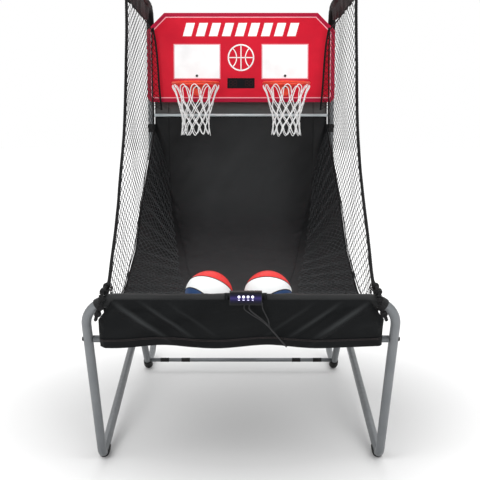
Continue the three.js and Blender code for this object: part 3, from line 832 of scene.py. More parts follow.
def draw_ball_picture(build, front, back):
    """Plain line drawing of a basketball."""
    centre, r, width, steps = Vector((0, 1.645)), 0.068, 0.0075, 40
    across, up = Vector((r, 0)), Vector((0, r))

    def arc(middle_x, facing, half_turn):
        return [centre + Vector((middle_x + r * math.cos(a), r * math.sin(a)))
                for a in np.radians(np.linspace(facing - half_turn, facing + half_turn, steps + 1))]

    ribbon(build, arc(0, 180, 180), width, front, back)
    for line in ([centre - across, centre + across], [centre - up, centre + up],
                 arc(1.35 * r, 180, 47), arc(-1.35 * r, 0, 47)):
        ribbon(build, line, width * 0.7, front, back)


def build_display_digits():
    """Unlit seven-segment digits behind the lens."""
    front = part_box("score_lens")[0].y - 0.0003
    back = front + 0.0002
    z, height, width, line = middle("score_lens").z, 0.030, 0.016, 0.0028
    build = Build()
    for x in (-0.055, -0.031, 0.031, 0.055):
        for dz in (-height / 2, 0, height / 2):
            prism(build, rectangle(x, z + dz, width - line, line), front, back)
        for dx in (-width / 2, width / 2):
            for dz in (-height / 4, height / 4):
                prism(build, rectangle(x + dx, z + dz, line, height / 2 - 1.4 * line), front, back)
    unlit = printed_board("unlit_segments", (0.035, 0.006, 0.008))
    finish_piece(build.object("display_segments", unlit, smooth=False), REAR, "lens_dark")


# ---- rims ----
RING_TURNS, NET_LOOPS = 96, 12
RIM_ROD = 0.006                     # radius of the ring's rod
RIM_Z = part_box("rim_net_right")[1].z + 0.008
HOOK_DROP = 0.0145                  # depth of the wire hooks under the ring
# Points of a wire hook: distance from its middle, depth below the ring
HOOK = [(-0.006, 0.004), (-0.0055, 0.010), (0, HOOK_DROP), (0.0055, 0.010), (0.006, 0.004)]
# Outline of a rim's plate on the board, as (x, z) from the ring's middle
BRACKET_PLATE = [(-0.012, -0.060), (0.012, -0.060), (0.045, -0.004), (0.045, 0.010), (-0.045, 0.010),
                 (-0.045, -0.004)]
PLATE, SHELF = 0.004, 0.002         # thickness of the plate, and half that of the shelf
# Rows of knots down the net: depth below the ring and radius
NET_ROWS = [(0.085, 0.097), (0.128, 0.083), (0.166, 0.073), (0.198, 0.068), (0.227, 0.071)]
NET_CORD = 0.0024


def build_rims():
    """Ring with its wire hooks, bracket and net on each side."""
    angle = np.linspace(0, 2 * math.pi, RING_TURNS, endpoint=False)
    for name in SIDES:
        node = f"rim_{name}"
        low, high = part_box(node)
        radius = (high.x - low.x) / 2 - RIM_ROD
        x, y = middle(node).x, low.y + RIM_ROD + radius
        build = Build()
        cord(build, [(x + radius * math.cos(a), y + radius * math.sin(a), RIM_Z) for a in angle],
             RIM_ROD, 14, closed=True)
        for k in range(NET_LOOPS):
            rim_hook(build, Vector((x, y, RIM_Z)), 2 * math.pi * k / NET_LOOPS, radius)
        finish_piece(build.object(f"{node}_ring", RIM_PAINT), REAR, "rim_orange", node)
        build_rim_bracket(node, x, y + radius - 0.003, high.y)
        build_rim_net(name, x, y)
        build_net_knots(name, x, y)


def build_rim_bracket(node, x, front, back):
    """Plate on the board, and the shelf from it that carries the ring."""
    build = Build()
    prism(build, [(x + u, RIM_Z + v) for u, v in BRACKET_PLATE], back - PLATE, back)
    shelf = [(x - 0.036, back - 0.003), (x + 0.036, back - 0.003), (x + 0.029, front), (x - 0.029, front)]
    build.add([(u, v, RIM_Z + dz) for dz in (-SHELF, SHELF) for u, v in shelf], prism_faces(4))
    obj = build.object(f"{node}_bracket", RIM_PAINT, smooth=False)
    finish_piece(soften(obj, 0.0009), REAR, "rim_orange")


def rim_hook(build, centre, angle, radius):
    """Small wire hook under the ring that holds one loop of the net."""
    out = Vector((math.cos(angle), math.sin(angle), 0))
    side = Vector((-out.y, out.x, 0))
    curve = [centre + out * radius + side * s - Vector((0, 0, d)) for s, d in HOOK]
    cord(build, smooth_line(curve, 4), 0.0014, 6)


def net_knot(x, y, row, k):
    """Where a knot hangs, a little off its even place."""
    depth, radius = NET_ROWS[row]
    wobble = noise.noise(Vector((k * 1.7, row * 2.3, x * 9)))
    angle = 2 * math.pi * (k + 0.5 * ((row + 1) % 2)) / NET_LOOPS + 0.07 * wobble
    return Vector((x + radius * math.cos(angle), y + radius * math.sin(angle),
                   RIM_Z - depth + 0.006 * wobble))


def pushed_out(point, x, y, distance):
    """A point moved away from the net's middle line."""
    return point + (point - Vector((x, y, point.z))).normalized() * distance


def top_loop(x, y, k):
    """One loop over the ring, through its hook."""
    angle = 2 * math.pi * k / NET_LOOPS
    out = Vector((math.cos(angle), math.sin(angle), 0))
    side = Vector((-out.y, out.x, 0))
    hook = Vector((x, y, RIM_Z - HOOK_DROP + 0.0035)) + out * 0.120
    left, right = net_knot(x, y, 0, k - 1), net_knot(x, y, 0, k)
    shoulder = Vector((0, 0, -0.013))
    return smooth_line([left, left.lerp(hook, 0.45) - side * 0.007, hook - side * 0.016 + shoulder, hook,
                        hook + side * 0.016 + shoulder, right.lerp(hook, 0.45) + side * 0.007, right], 5)


def crossing_cords(x, y, k):
    """The two cords from a knot down to the next row, for every row."""
    for row in range(len(NET_ROWS) - 1):
        here = net_knot(x, y, row, k)
        shift = 0 if row % 2 else 1
        for other in (k + shift - 1, k + shift):
            there = net_knot(x, y, row + 1, other)
            yield smooth_line([here, pushed_out((here + there) / 2, x, y, 0.002), there], 4)


def bottom_loop(x, y, k):
    low_a, low_b = (net_knot(x, y, len(NET_ROWS) - 1, i) for i in (k, k + 1))
    droop = 0.043 + 0.014 * noise.noise(Vector((k * 0.77, x * 5, 0.4)))
    tip = pushed_out((low_a + low_b) / 2 - Vector((0, 0, droop)), x, y, 0.008)
    return smooth_line([low_a, low_a.lerp(tip, 0.6) + (low_a - low_b) * 0.13, tip,
                        low_b.lerp(tip, 0.6) + (low_b - low_a) * 0.13, low_b], 4)


def build_rim_net(name, x, y):
    """Twelve loops over the ring, crossing cords, and twelve loops at the bottom."""
    build = Build()
    for k in range(NET_LOOPS):
        for line in (top_loop(x, y, k), *crossing_cords(x, y, k), bottom_loop(x, y, k)):
            cord(build, line, NET_CORD, 7)
    finish_piece(build.object(f"rim_net_{name}_cords", NET_WHITE), REAR, "net_white", f"rim_net_{name}")


def build_net_knots(name, x, y):
    shape = [(AXIS_R, -0.0042), (0.0032, -0.0026), (0.0042, 0), (0.0032, 0.0026), (AXIS_R, 0.0042)]
    build = Build()
    for row in range(len(NET_ROWS)):
        for k in range(NET_LOOPS):
            turned(build, shape, net_knot(x, y, row, k), (0, 0, 1), 8)
    finish_piece(build.object(f"rim_net_{name}_knots", NET_WHITE), REAR, "net_white")


# ---- ramp fabric ----
RAMP_POINTS = [(-1.013, 0.672), (-0.955, 0.614), (-0.880, 0.577), (-0.790, 0.571), (-0.420, 0.612),
               (-0.050, 0.653), (0.350, 0.712), (0.680, 0.800), (0.870, 0.935), (0.970, 1.120),
               (1.011, 1.300), (1.013, 1.430)]
SIDE_EDGE = [(-0.420, 0.612), (-0.020, 0.724), (0.264, 0.915), (0.545, 1.062), (1.000, 1.290),
             (1.013, 1.296)]
RAMP_LINE = np.array([(p.y + DATUM, p.z) for p in smooth_line([(0, y, z) for y, z in RAMP_POINTS], 16)])
RAMP_LENGTH = np.concatenate([[0], np.cumsum(np.linalg.norm(np.diff(RAMP_LINE, axis=0), axis=1))])
RAMP_FLOOR = RAMP_LINE[:130]        # the line as far as the foot of its back curtain
EDGE_Y = [y + DATUM for y, _ in SIDE_EDGE]
EDGE_Z = [z for _, z in SIDE_EDGE]
RAMP_HALF = 0.468


def ramp_middle(u):
    s = u * RAMP_LENGTH[-1]
    return np.interp(s, RAMP_LENGTH, RAMP_LINE[:, 0]), np.interp(s, RAMP_LENGTH, RAMP_LINE[:, 1])


def edge_z(y):
    return float(np.interp(y, EDGE_Y, EDGE_Z)) if y > EDGE_Y[0] else 0.0


def ramp_point(u, v):
    """u from the front bar to the backboard, v across from -1 to 1, folds at half way."""
    y, z = ramp_middle(u)
    fold = 0.220 + 0.15 * (y - DATUM + 0.150)
    rise = max(0.0, edge_z(y) - z)
    side = max(0.0, 2 * abs(v) - 1)
    x = min(1.0, 2 * abs(v)) * fold + side * (RAMP_HALF - fold)
    ease = side * side * (3 - 2 * side) if rise else side
    return math.copysign(x, v), y, z + (0.65 * side + 0.35 * ease) * rise


DRAPE_FRAMES = 18


def drape(obj, pinned, cap, slack):
    """Cloth simulation with pinned points. The result is applied and no point moves farther than cap."""
    group = obj.vertex_groups.new(name="pinned")
    group.add([int(i) for i in pinned], 1.0, "REPLACE")
    mod = obj.modifiers.new("cloth", "CLOTH")
    cloth = mod.settings
    cloth.quality, cloth.mass = 6, 0.25
    cloth.tension_stiffness = cloth.compression_stiffness = 25
    cloth.bending_stiffness = 0.4
    cloth.vertex_group_mass = "pinned"
    cloth.shrink_min = -slack
    mod.point_cache.frame_start, mod.point_cache.frame_end = 1, DRAPE_FRAMES
    scene = bpy.context.scene
    for k in range(1, DRAPE_FRAMES + 1):
        scene.frame_set(k)
    final = obj.evaluated_get(bpy.context.evaluated_depsgraph_get()).to_mesh()
    rest = np.zeros(len(obj.data.vertices) * 3, np.float32)
    moved = rest.copy()
    obj.data.vertices.foreach_get("co", rest)
    final.vertices.foreach_get("co", moved)
    step = (moved - rest).reshape(-1, 3)
    length = np.linalg.norm(step, axis=1)[:, None] + 1e-9
    step *= np.minimum(1, cap / length)
    obj.modifiers.remove(mod)
    obj.data.vertices.foreach_set("co", (rest.reshape(-1, 3) + step).ravel())
    obj.data.update()
    scene.frame_set(1)


def thicken(obj, thickness, smooth_levels=1):
    mod = obj.modifiers.new("cloth_thickness", "SOLIDIFY")
    mod.thickness, mod.offset = thickness, 0
    if smooth_levels:
        sub = obj.modifiers.new("smooth", "SUBSURF")
        sub.levels = sub.render_levels = smooth_levels
    for name in [m.name for m in obj.modifiers]:
        bpy.context.view_layer.objects.active = obj
        with bpy.context.temp_override(object=obj):
            bpy.ops.object.modifier_apply(modifier=name)


# Two points on the slope between the two frames; span_fold reads them but nothing is moved by them.
FOLD_START, FOLD_END = (0, 0.40, 1.352), (0, -0.4156, 0.3325)


def span_fold(obj, slot, *nodes):
    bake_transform(obj)
    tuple(FOLD_START)
    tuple(FOLD_END)
    if nodes:
        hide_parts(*nodes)


RAMP_ROWS, RAMP_COLUMNS = 110, 72


def build_ramp():
    def wrinkled(u, v):
        x, y, z = ramp_point(u, 2 * v - 1)
        across = abs(2 * v - 1)
        inside = min(1.0, 6 * u, 6 * (1 - u)) * (1 - across ** 8)
        n = noise.noise(Vector((x * 2.6, y * 1.1, z * 1.1 + 3))) * 0.010
        n += noise.noise(Vector((x * 9, y * 2.0, z * 2.0))) * 0.003
        return x, y - inside * n * 0.5, z + inside * n

    build, uv = sheet(RAMP_ROWS, RAMP_COLUMNS, wrinkled)
    c = RAMP_COLUMNS + 1
    uv[:, 1] = np.repeat(np.linspace(0, RAMP_LENGTH[-1], RAMP_ROWS + 1), c)
    obj = build.object("ramp_cloth", ramp_fabric(), uv=uv)
    pins = [i * c + j for i in range(RAMP_ROWS + 1) for j in range(c)
            if j in (0, RAMP_COLUMNS) or i in (0, RAMP_ROWS)]
    drape(obj, pins, cap=0.010, slack=0.010)
    build_ramp_seams(obj)
    thicken(obj, 0.0016)
    span_fold(obj, "fabric_black", "ramp_fabric")


def grid_line(obj, indices, lift=0.0):
    """Points of a draped grid, moved off its face by lift."""
    verts = obj.data.vertices
    return [verts[i].co + verts[i].normal * lift for i in indices]


def build_ramp_seams(obj):
    """Bound hem along both side edges and a flat seam along each fold."""
    for name, columns, lift, radius, sides in (
            ("ramp_side_hems", (0, RAMP_COLUMNS), 0.0, 0.0035, 8),
            ("ramp_seams", (RAMP_COLUMNS // 4, 3 * RAMP_COLUMNS // 4), 0.0006, 0.0016, 6)):
        build = Build()
        for j in columns:
            line = [i * (RAMP_COLUMNS + 1) + j for i in range(RAMP_ROWS + 1)]
            cord(build, grid_line(obj, line, lift), radius, sides)
        span_fold(build.object(name, HEM_FABRIC), "fabric_black")


# ---- side nets ----
NET_MESH = Vector((0.090, 0.034))   # one mesh of a side net, which is stretched lengthways: along, up
NET_CORNER = Vector((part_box("side_net_right")[0].y, 0.690))     # its lower front corner, as (y, z)


def net_edges():
    """The four edges of a side net in (y, z): front, rear, bottom, top."""
    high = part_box("side_net_right")[1]
    top_front = Vector((DATUM - 0.200, high.z))
    pull = Vector((DATUM - 0.250, 0.950))       # point that the front edge curves towards
    rear_low, rear_high = Vector((high.y, edge_z(high.y))), Vector((high.y, high.z - 0.012))

    def front(t):
        return (1 - t) ** 2 * NET_CORNER + 2 * t * (1 - t) * pull + t ** 2 * top_front

    def bottom(s):
        y = NET_CORNER.x + s * (high.y - NET_CORNER.x)
        z = max(np.interp(y, RAMP_FLOOR[:, 0], RAMP_FLOOR[:, 1]), edge_z(y)) + 0.004
        ease = max(0.0, 1 - s / 0.05)
        return Vector((y, z * (1 - ease) + NET_CORNER.y * ease))

    return (front, lambda t: rear_low.lerp(rear_high, t), bottom, lambda s: top_front.lerp(rear_high, s))


def net_place(side, p):
    """Where a point (y, z) of a side net hangs: slightly billowed, and drawn in at the front corner."""
    billow = 0.006 * noise.noise(Vector((p.x * 2.5, p.y * 2.5, side)))
    drawn_in = 0.013 * math.exp(-((p - NET_CORNER).length / 0.25) ** 2)
    slip = 0.004 * noise.noise(Vector((p.x * 9, p.y * 14, 3 + side)))
    return Vector((side * (NET_X + billow - drawn_in), p.x + slip, p.y))


def net_lines(edges):
    """Cords of a diamond net cut to its outline, as pairs of (y, z) points."""
    front, rear, bottom, top = edges
    curve = np.array([tuple(front(k / 60)) for k in range(61)])
    y_min, y_max = front(0).x, rear(0).x

    def inside(p):
        if p.y > curve[-1, 1] or p.x > y_max or p.x < np.interp(p.y, curve[:, 1], curve[:, 0]):
            return False
        share = (p.x - front(1).x) / (y_max - front(1).x)
        return bottom((p.x - y_min) / (y_max - y_min)).y < p.y < top(min(1, max(0, share))).y

    def leaving(a, b):
        for _ in range(8):
            centre = (a + b) / 2
            a, b = (centre, b) if inside(centre) else (a, centre)
        return a

    half = NET_MESH / 2
    columns = range(int(y_min / half.x) - 2, int(y_max / half.x) + 2)
    rows = range(int(0.5 / half.y), int(1.85 / half.y))
    for i in columns:
        for j in rows:
            for step in (-1, 1) if (i + j) % 2 == 0 else ():
                a, b = Vector((i * half.x, j * half.y)), Vector(((i + step) * half.x, (j + 1) * half.y))
                if inside(a) and inside(b):
                    yield a, b
                elif inside(a):
                    yield a, leaving(a, b)
                elif inside(b):
                    yield b, leaving(b, a)


def build_side_nets():
    edges = net_edges()
    for name, side in SIDES.items():
        lines = [(net_place(side, a), net_place(side, b)) for a, b in net_lines(edges)]
        lines = [(a, b) for a, b in lines if (a - b).length > 0.004]
        build = Build()
        short_cords(build, [tuple(a) for a, _ in lines], [tuple(b) for _, b in lines], 0.0010, 0.0016)
        span_fold(build.object(f"side_net_{name}_cords", NET_BLACK), "net_black", f"side_net_{name}")
        build_net_ropes(name, side, edges)
        build_lower_net(name, side)


def diamond_cords(build, grid, middle_r, end_r):
    start, end = [], []
    for r in range(len(grid) - 1):
        for k in range(len(grid[r])):
            for other in ((k - 1, k) if r % 2 == 0 else (k, k + 1)):
                if 0 <= other < len(grid[r + 1]):
                    start.append(grid[r][k])
                    end.append(grid[r + 1][other])
    short_cords(build, start, end, middle_r, end_r)


def twisted_rope(build, path, radius, pitch=0.030, strands=3):
    """Laid rope: strands wound round each other along a path."""
    path = np.array([tuple(p) for p in path], float)
    length = np.concatenate([[0], np.cumsum(np.linalg.norm(np.diff(path, axis=0), axis=1))])
    count = max(8, int(length[-1] / pitch * 10))
    s = np.linspace(0, length[-1], count)
    line = np.stack([np.interp(s, length, path[:, k]) for k in range(3)], 1)
    t = tangents(line, False)
    u = np.cross(t, (1, 0, 0))
    u /= np.linalg.norm(u, axis=1)[:, None]
    w = np.cross(t, u)
    for k in range(strands):
        a = 2 * math.pi * (s / pitch + k / strands)
        strand = line + 0.5 * radius * (np.cos(a)[:, None] * u + np.sin(a)[:, None] * w)
        cord(build, strand, 0.56 * radius, 6)


def build_net_ropes(name, side, edges):
    """Thick laid rope down the front edge and thinner cords round the rest."""
    build = Build()
    count = 90
    for edge, radius in zip(edges, (0.0065, 0.0035, 0.0025, 0.0035)):
        path = [net_place(side, edge(k / count)) for k in range(count + 1)]
        if edge is edges[0]:
            twisted_rope(build, path, radius)
        else:
            cord(build, path, radius, 8)
    span_fold(build.object(f"side_net_{name}_ropes", NET_BLACK), "net_black")


def build_lower_net(name, side):
    """The net's lower part, lying gathered on the sloping side of the ramp."""
    columns, rows, start_u, end_u, lift = 60, 16, 0.20, 0.80, 0.006
    grid = []
    for r in range(rows + 1):
        line = []
        for k in range(columns + 1):
            u = start_u + (end_u - start_u) * (k + 0.5 * (r % 2)) / columns
            gather = 0.03 * noise.noise(Vector((u * 14, side, r * 0.2)))
            v = 1 - 0.48 * (r / rows) * (0.85 + gather)
            x, y, z = ramp_point(u, side * v)
            fold = 0.0035 * math.sin(u * 150 + 2 * noise.noise(Vector((u * 9, 0, side))))
            line.append((x - side * (lift + fold), y, z + lift + fold))
        grid.append(line)
    build = Build()
    diamond_cords(build, grid, 0.0010, 0.0017)
    # its cords use the paler, painted-light copy of the black net cord
    span_fold(build.object(f"lower_net_{name}_cords", NET_CORD_PAINTED_LIGHT), "net_black")


# ---- fabric on the arms ----
SLEEVE_R, SLEEVE_FLAP = 0.0208, 0.102   # radius round the arm, and depth of the flap below its middle
FLAP_GAP = 0.004                    # half the gap between the flap's two layers
FLAP_SHARE = 0.3                    # share of the cloth's width in each of those layers


def build_arm_sleeves():
    """Cloth over each arm whose two ends hang down together as a flap."""
    slope = (ARM_END[1] - ARM_Z) / (ARM_END[0] - UPRIGHT_Y)
    neck = SLEEVE_R * 0.75              # where the flap starts, below the arm's middle
    for name, side in SIDES.items():
        node = f"arm_sleeve_{name}"
        low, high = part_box(node)

        def point(u, v):
            y = high.y + (low.y - high.y) * u
            centre_z = ARM_Z + slope * (y - UPRIGHT_Y)
            drop = SLEEVE_FLAP * (1 - 0.15 * max(0, (u - 0.90) / 0.10) ** 2) * (1 - 0.25 * (1 - u) ** 4)
            wrinkle = noise.noise(Vector((y * 11, v * 3, side))) * 0.0035
            wrinkle += noise.noise(Vector((y * 30, v * 9, side * 3))) * 0.0012
            if v < FLAP_SHARE or v > 1 - FLAP_SHARE:
                fall = 1 - min(v, 1 - v) / FLAP_SHARE
                x = math.copysign(FLAP_GAP, v - 0.5) * (1 + 1.5 * (1 - fall))
                x += wrinkle * (0.4 + fall) + 0.003 * math.sin(y * 40) * fall
                return side * REAR_X + x, y, centre_z - neck - (drop - neck) * fall
            angle = -math.pi / 2 - (v - FLAP_SHARE) / (1 - 2 * FLAP_SHARE) * 2 * math.pi
            reach = SLEEVE_R + abs(wrinkle) * 0.8
            return side * REAR_X + reach * math.cos(angle), y, centre_z + reach * math.sin(angle)

        build, uv = sheet(120, 60, point)
        obj = build.object(f"{node}_cloth", ARM_FABRIC, uv=uv)
        thicken(obj, 0.0012)
        finish_piece(obj, REAR, "fabric_black", node)
        build_bend_cover(name, side)


def build_bend_cover(name, side):
    """Fabric round the bend at the top of each upright."""
    path = rounded_path(arm_corners(side), [CORNER_BEND], 24)[1:-1]
    path += [Vector(path[-1]).lerp(Vector((side * REAR_X, *ARM_END)), 0.035)]
    build = Build()
    pipe(build, path, 0.0200, 0.0014, 40)
    fine = build.object(f"arm_bend_cover_{name}", ARM_FABRIC)
    for v in fine.data.vertices:
        v.co += v.normal * 0.0012 * noise.noise(v.co * 60)
    finish_piece(fine, REAR, "fabric_black")


# ---- front bar fabric and apron ----
BAR_CLOTH_HALF = 0.486              # how far out the bar's fabric reaches, part way round each corner


def build_front_bar_cloth():
    """Fabric tube on the front bar that runs a little way round both corners."""
    low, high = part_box("front_bar_sleeve")
    radius, sides = (high.z - low.z) / 2, 40
    left, right = ([p for p in rounded_path(front_leg_corners(side)[1:], [CORNER_BEND], 24)
                    if abs(p.x) < BAR_CLOTH_HALF] for side in (-1, 1))
    line = left + [Vector((x, BAR.y, BAR.z)) for x in np.linspace(-0.30, 0.30, 50)] + right[::-1]
    line = [p for k, p in enumerate(line) if k == 0 or (p - line[k - 1]).length > 1e-5]
    verts = rings(line, radius - 0.001, sides).reshape(len(line), sides, 3)
    for centre, row in zip(line, verts):
        for j, p in enumerate(row):
            swell = 0.0022 * noise.noise(Vector(p) * 22) + 0.0012 * noise.noise(Vector(p) * 60)
            row[j] = p + (p - np.array(centre)) / radius * swell
    build = Build()
    build.add(verts, ring_faces(len(line), sides))
    along = np.repeat(np.arange(len(line)) * 0.012, sides)
    around = np.tile(np.arange(sides) * 0.0033, len(line))
    obj = build.object("front_bar_cloth", BAR_FABRIC, uv=np.stack([around, along], 1))
    thicken(obj, 0.0012)
    finish_piece(obj, FRONT, "fabric_black", "front_bar_sleeve")


APRON_ROWS, APRON_COLUMNS = 40, 180


def build_apron():
    """Cloth panel below the front bar, narrower at its top corners, with folds that lean inwards."""
    low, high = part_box("front_apron")
    top_half, full_half, chamfer = 0.425, high.x, 0.42

    def point(u, v):
        width = top_half + (full_half - top_half) * min(1.0, u / chamfer)
        x = (2 * v - 1) * width
        hem = 0.006 * noise.noise(Vector((x * 6, 5, 0))) + 0.004 * math.sin(x * 17)
        ripple = noise.noise(Vector((x * 5 + u * 3, u * 2, 9))) * 0.008
        pulled = sum(height * math.exp(-((abs(x) - start + FOLD_LEAN * u) / fold_width) ** 2)
                     for start, height, fold_width in APRON_FOLDS)
        bulge = (ripple + pulled * min(1.0, 3 * (1 - u))) * min(1.0, 5 * u)
        y = low.y + (high.y - low.y) * u + 0.0015
        return x, y - max(-0.006, bulge), high.z - (high.z - low.z) * u + hem * u

    build, uv = sheet(APRON_ROWS, APRON_COLUMNS, point)
    obj = build.object("apron_cloth", APRON_FABRIC, uv=uv)
    c = APRON_COLUMNS + 1
    pins = list(range(c)) + [i * c + j for i in range(APRON_ROWS + 1) for j in (0, APRON_COLUMNS)]
    drape(obj, pins, cap=0.009, slack=0.015)
    build_apron_hem(obj)
    build_apron_stitches(obj)
    thicken(obj, 0.0016)
    finish_piece(obj, FRONT, "fabric_black", "front_apron")


HEM_ROWS = 8                        # rows of the apron's grid that are folded under


def build_apron_hem(obj):
    """Turned-up hem along the bottom of the apron, one more layer of cloth."""
    c = APRON_COLUMNS + 1
    first = APRON_ROWS - HEM_ROWS

    def point(u, v):
        p = obj.data.vertices[(first + round(u * HEM_ROWS)) * c + round(v * APRON_COLUMNS)].co
        return p.x, p.y - 0.0016, p.z

    build, uv = sheet(HEM_ROWS, APRON_COLUMNS, point)
    hem = build.object("apron_hem", HEM_FABRIC, uv=uv)
    thicken(hem, 0.0012, 0)
    finish_piece(hem, FRONT, "fabric_black")


def build_apron_stitches(obj):
    """Two rows of stitches along the hem."""
    c = APRON_COLUMNS + 1
    build = Build()
    for row in (APRON_ROWS - HEM_ROWS + 1, APRON_ROWS - HEM_ROWS + 2):
        line = grid_line(obj, [row * c + j for j in range(1, APRON_COLUMNS)])
        front = [Vector((p.x, p.y - 0.0024, p.z)) for p in line]
        start = [tuple(a.lerp(b, 0.15)) for a, b in zip(front, front[1:])]
        end = [tuple(a.lerp(b, 0.75)) for a, b in zip(front, front[1:])]
        short_cords(build, start, end, 0.0007, 0.0005)
    finish_piece(build.object("apron_stitches", THREAD), FRONT, "fabric_black")


# ---- ties ----
def winding(centre, axis, radius, turns, pitch, steps=18):
    """Line wound round an axis."""
    turn = turn_to(axis)
    line = []
    for k in range(int(turns * steps) + 1):
        angle = 2 * math.pi * k / steps
        place = (radius * math.cos(angle), radius * math.sin(angle), pitch * (k / steps - turns / 2))
        line.append(Vector(centre) + turn @ Vector(place))
    return line


def knot(build, centre, axis, radius):
    """Overhand knot: three close turns that cross each other."""
    for k, lean in enumerate((-0.35, 0.0, 0.35)):
        tilted = Vector(axis).normalized() + Vector((lean, 0.2 * k, -lean))
        middle_of_turn = Vector(centre) + Vector(axis) * (k - 1) * 0.6 * radius
        cord(build, winding(middle_of_turn, tilted, radius, 1.0, 0.001), 0.55 * radius, 7)


# The corner rope over the bar and round the inside of its bend, measured from the bar's line
ROPE_OVER_BAR = [(0.462, 0.016, 0.030), (0.463, -0.022, 0.018), (0.465, -0.032, -0.010),
                 (0.473, -0.032, -0.036), (0.483, -0.024, -0.056), (0.490, 0.002, -0.070)]
ROPE_KNOTS = (0.0, 0.24, 0.42, 0.58, 0.74)      # where its knots are, as shares of its length


def build_corner_ties():
    """Knotted rope from the front corner of each net over the bar, lashed to the leg."""
    for name, side in SIDES.items():
        build = Build()
        net_corner = net_place(side, NET_CORNER + Vector((0.010, 0.032)))
        over = [net_corner] + [Vector((side * x, BAR.y + y, BAR.z + z)) for x, y, z in ROPE_OVER_BAR]
        line = smooth_line(over, 10)
        twisted_rope(build, line, 0.0062, 0.022)
        for share in ROPE_KNOTS:
            k = int(share * (len(line) - 2))
            knot(build, line[k], (line[k + 1] - line[k]).normalized(), 0.0078)
        for shift in (0.0, 0.016):
            stray = [net_corner + Vector((0, 0.02 + shift, 0.012)),
                     net_corner + Vector((-side * 0.02, 0.0, -0.004 - shift)),
                     Vector((side * (0.455 - shift), BAR.y + 0.012, BAR.z + 0.022))]
            cord(build, smooth_line(stray, 8), 0.0022, 7)
        finish_piece(build.object(f"corner_tie_{name}", NET_BLACK), FRONT, "net_black")


STRAP_Z, STRAP_HALF = 1.268, 0.022  # wide strap that holds the ramp's upper corner to the upright
LOOPS_Z = (1.10, 1.50, 1.66)        # cord loops that hold the ramp's edge and the net


def build_upright_ties():
    """Wide strap and short cord loops that hold the ramp and the net to each upright."""
    for name, side in SIDES.items():
        x = side * REAR_X
        build = Build()
        for z in LOOPS_Z:
            cord(build, winding((x, UPRIGHT_Y, z), (0, 0, 1), TUBE_R + 0.0025, 2.5, 0.006), 0.0024, 7)
        strap = [(x, UPRIGHT_Y, STRAP_Z - STRAP_HALF), (x, UPRIGHT_Y, STRAP_Z + STRAP_HALF)]
        pipe(build, strap, TUBE_R + 0.0018, 0.0014, 40)
        finish_piece(build.object(f"upright_ties_{name}", NET_BLACK), REAR, "net_black")


# The rear border of each side net in front of the board, as (x, z)
BOARD_BORDER = [(0.4715, 1.800), (0.456, 1.713), (0.446, 1.600), (0.441, 1.503), (0.429, 1.365)]
BORDER_MESH = 0.030                 # one mesh of the net between the border and the side net


def build_board_border():
    """Net that turns in front of each end of the board, with a thick border."""
    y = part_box("side_net_right")[1].y - 0.010
    curve = smooth_line([(x, y, z) for x, z in BOARD_BORDER], 12)
    heights, reach = [p.z for p in curve][::-1], [p.x for p in curve][::-1]
    top, bottom = BOARD_BORDER[0][1], BOARD_BORDER[-1][1]
    for name, side in SIDES.items():
        build = Build()
        twisted_rope(build, [(side * p.x, y, p.z) for p in curve], 0.0055, 0.026)
        start, end = [], []
        for k in range(int((top - bottom) / BORDER_MESH)):
            low = bottom + k * BORDER_MESH
            for z0, z1 in ((low, low + BORDER_MESH), (low + BORDER_MESH, low)):
                start.append((side * NET_X, y + 0.004, z0))
                end.append((side * float(np.interp(z1, heights, reach)), y, z1))
        short_cords(build, start, end, 0.0011, 0.0016)
        finish_piece(build.object(f"board_border_{name}", NET_BLACK), REAR, "net_black")


# ---- balls ----
BALL_TILT = math.radians(42.5)      # how far the seam axes lean back from upright
SEAM_SUNK = 0.9935                  # middle of a seam cord, as a share of the ball's radius


def build_ball(name, red_lean, blue_lean):
    """Ball with a red and a blue cap. Each lean is how far that cap's axis points to the side."""
    node = f"ball_{name}"
    centre, (low, high) = middle(node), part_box(node)
    radius = (high.y - low.y) / 2 * 0.998
    red_axis, blue_axis = (Vector((lean, math.sin(BALL_TILT), math.cos(BALL_TILT))).normalized()
                           for lean in (red_lean, blue_lean))
    axes = (red_axis, -blue_axis)
    profile = [(max(FINE_AXIS_R, radius * math.sin(a)), -radius * math.cos(a))
               for a in np.linspace(0, math.pi, 65)]
    skin = Build()
    turned(skin, profile, centre, red_axis, 96)
    finish_piece(skin.object(f"{node}_skin", ball_skin(f"{node}_rubber", centre, axes, radius)),
                 node, "ball_skin", node)

    seams = Build()
    turns = np.linspace(0, 2 * math.pi, 96, endpoint=False)

    def seam(axis, ring, thick):
        line = [centre + turn_to(axis) @ Vector(ring(a)) * radius * SEAM_SUNK for a in turns]
        cord(seams, line, thick, 8, closed=True)

    for axis, share in zip(axes, BALL_SEAMS):
        flat = math.sqrt(1 - share ** 2)
        seam(axis, lambda a: (flat * math.cos(a), flat * math.sin(a), share), 0.0019)
    seam(red_axis, lambda a: (math.cos(a), 0, math.sin(a)), 0.0013)
    finish_piece(seams.object(f"{node}_seams", RUBBER), node, "ball_skin")


# ---- controller ----
CAP_R, CAP_EDGE = 0.0045, 0.001     # radius of a button's cap and width of its sloped edge
ICON = 0.0034                       # half the size of a lit icon
MARK_DROP, MARK_WIDTH, MARK_HEIGHT = 0.0105, 0.006, 0.0012      # lit line below each button
ICONS = {"button_power": "disc", "button_back": "left", "button_forward": "right", "button_start": "disc"}


def icon_outline(kind, x, z):
    if kind == "disc":
        return [(x + ICON * math.cos(a), z + ICON * math.sin(a))
                for a in np.linspace(0, 2 * math.pi, 24, endpoint=False)]
    side = 1 if kind == "right" else -1
    blunt, tip = x - side * ICON * 0.8, x + side * ICON
    points = [(blunt, z - ICON), (tip, z), (blunt, z + ICON)]
    return points if side > 0 else points[::-1]


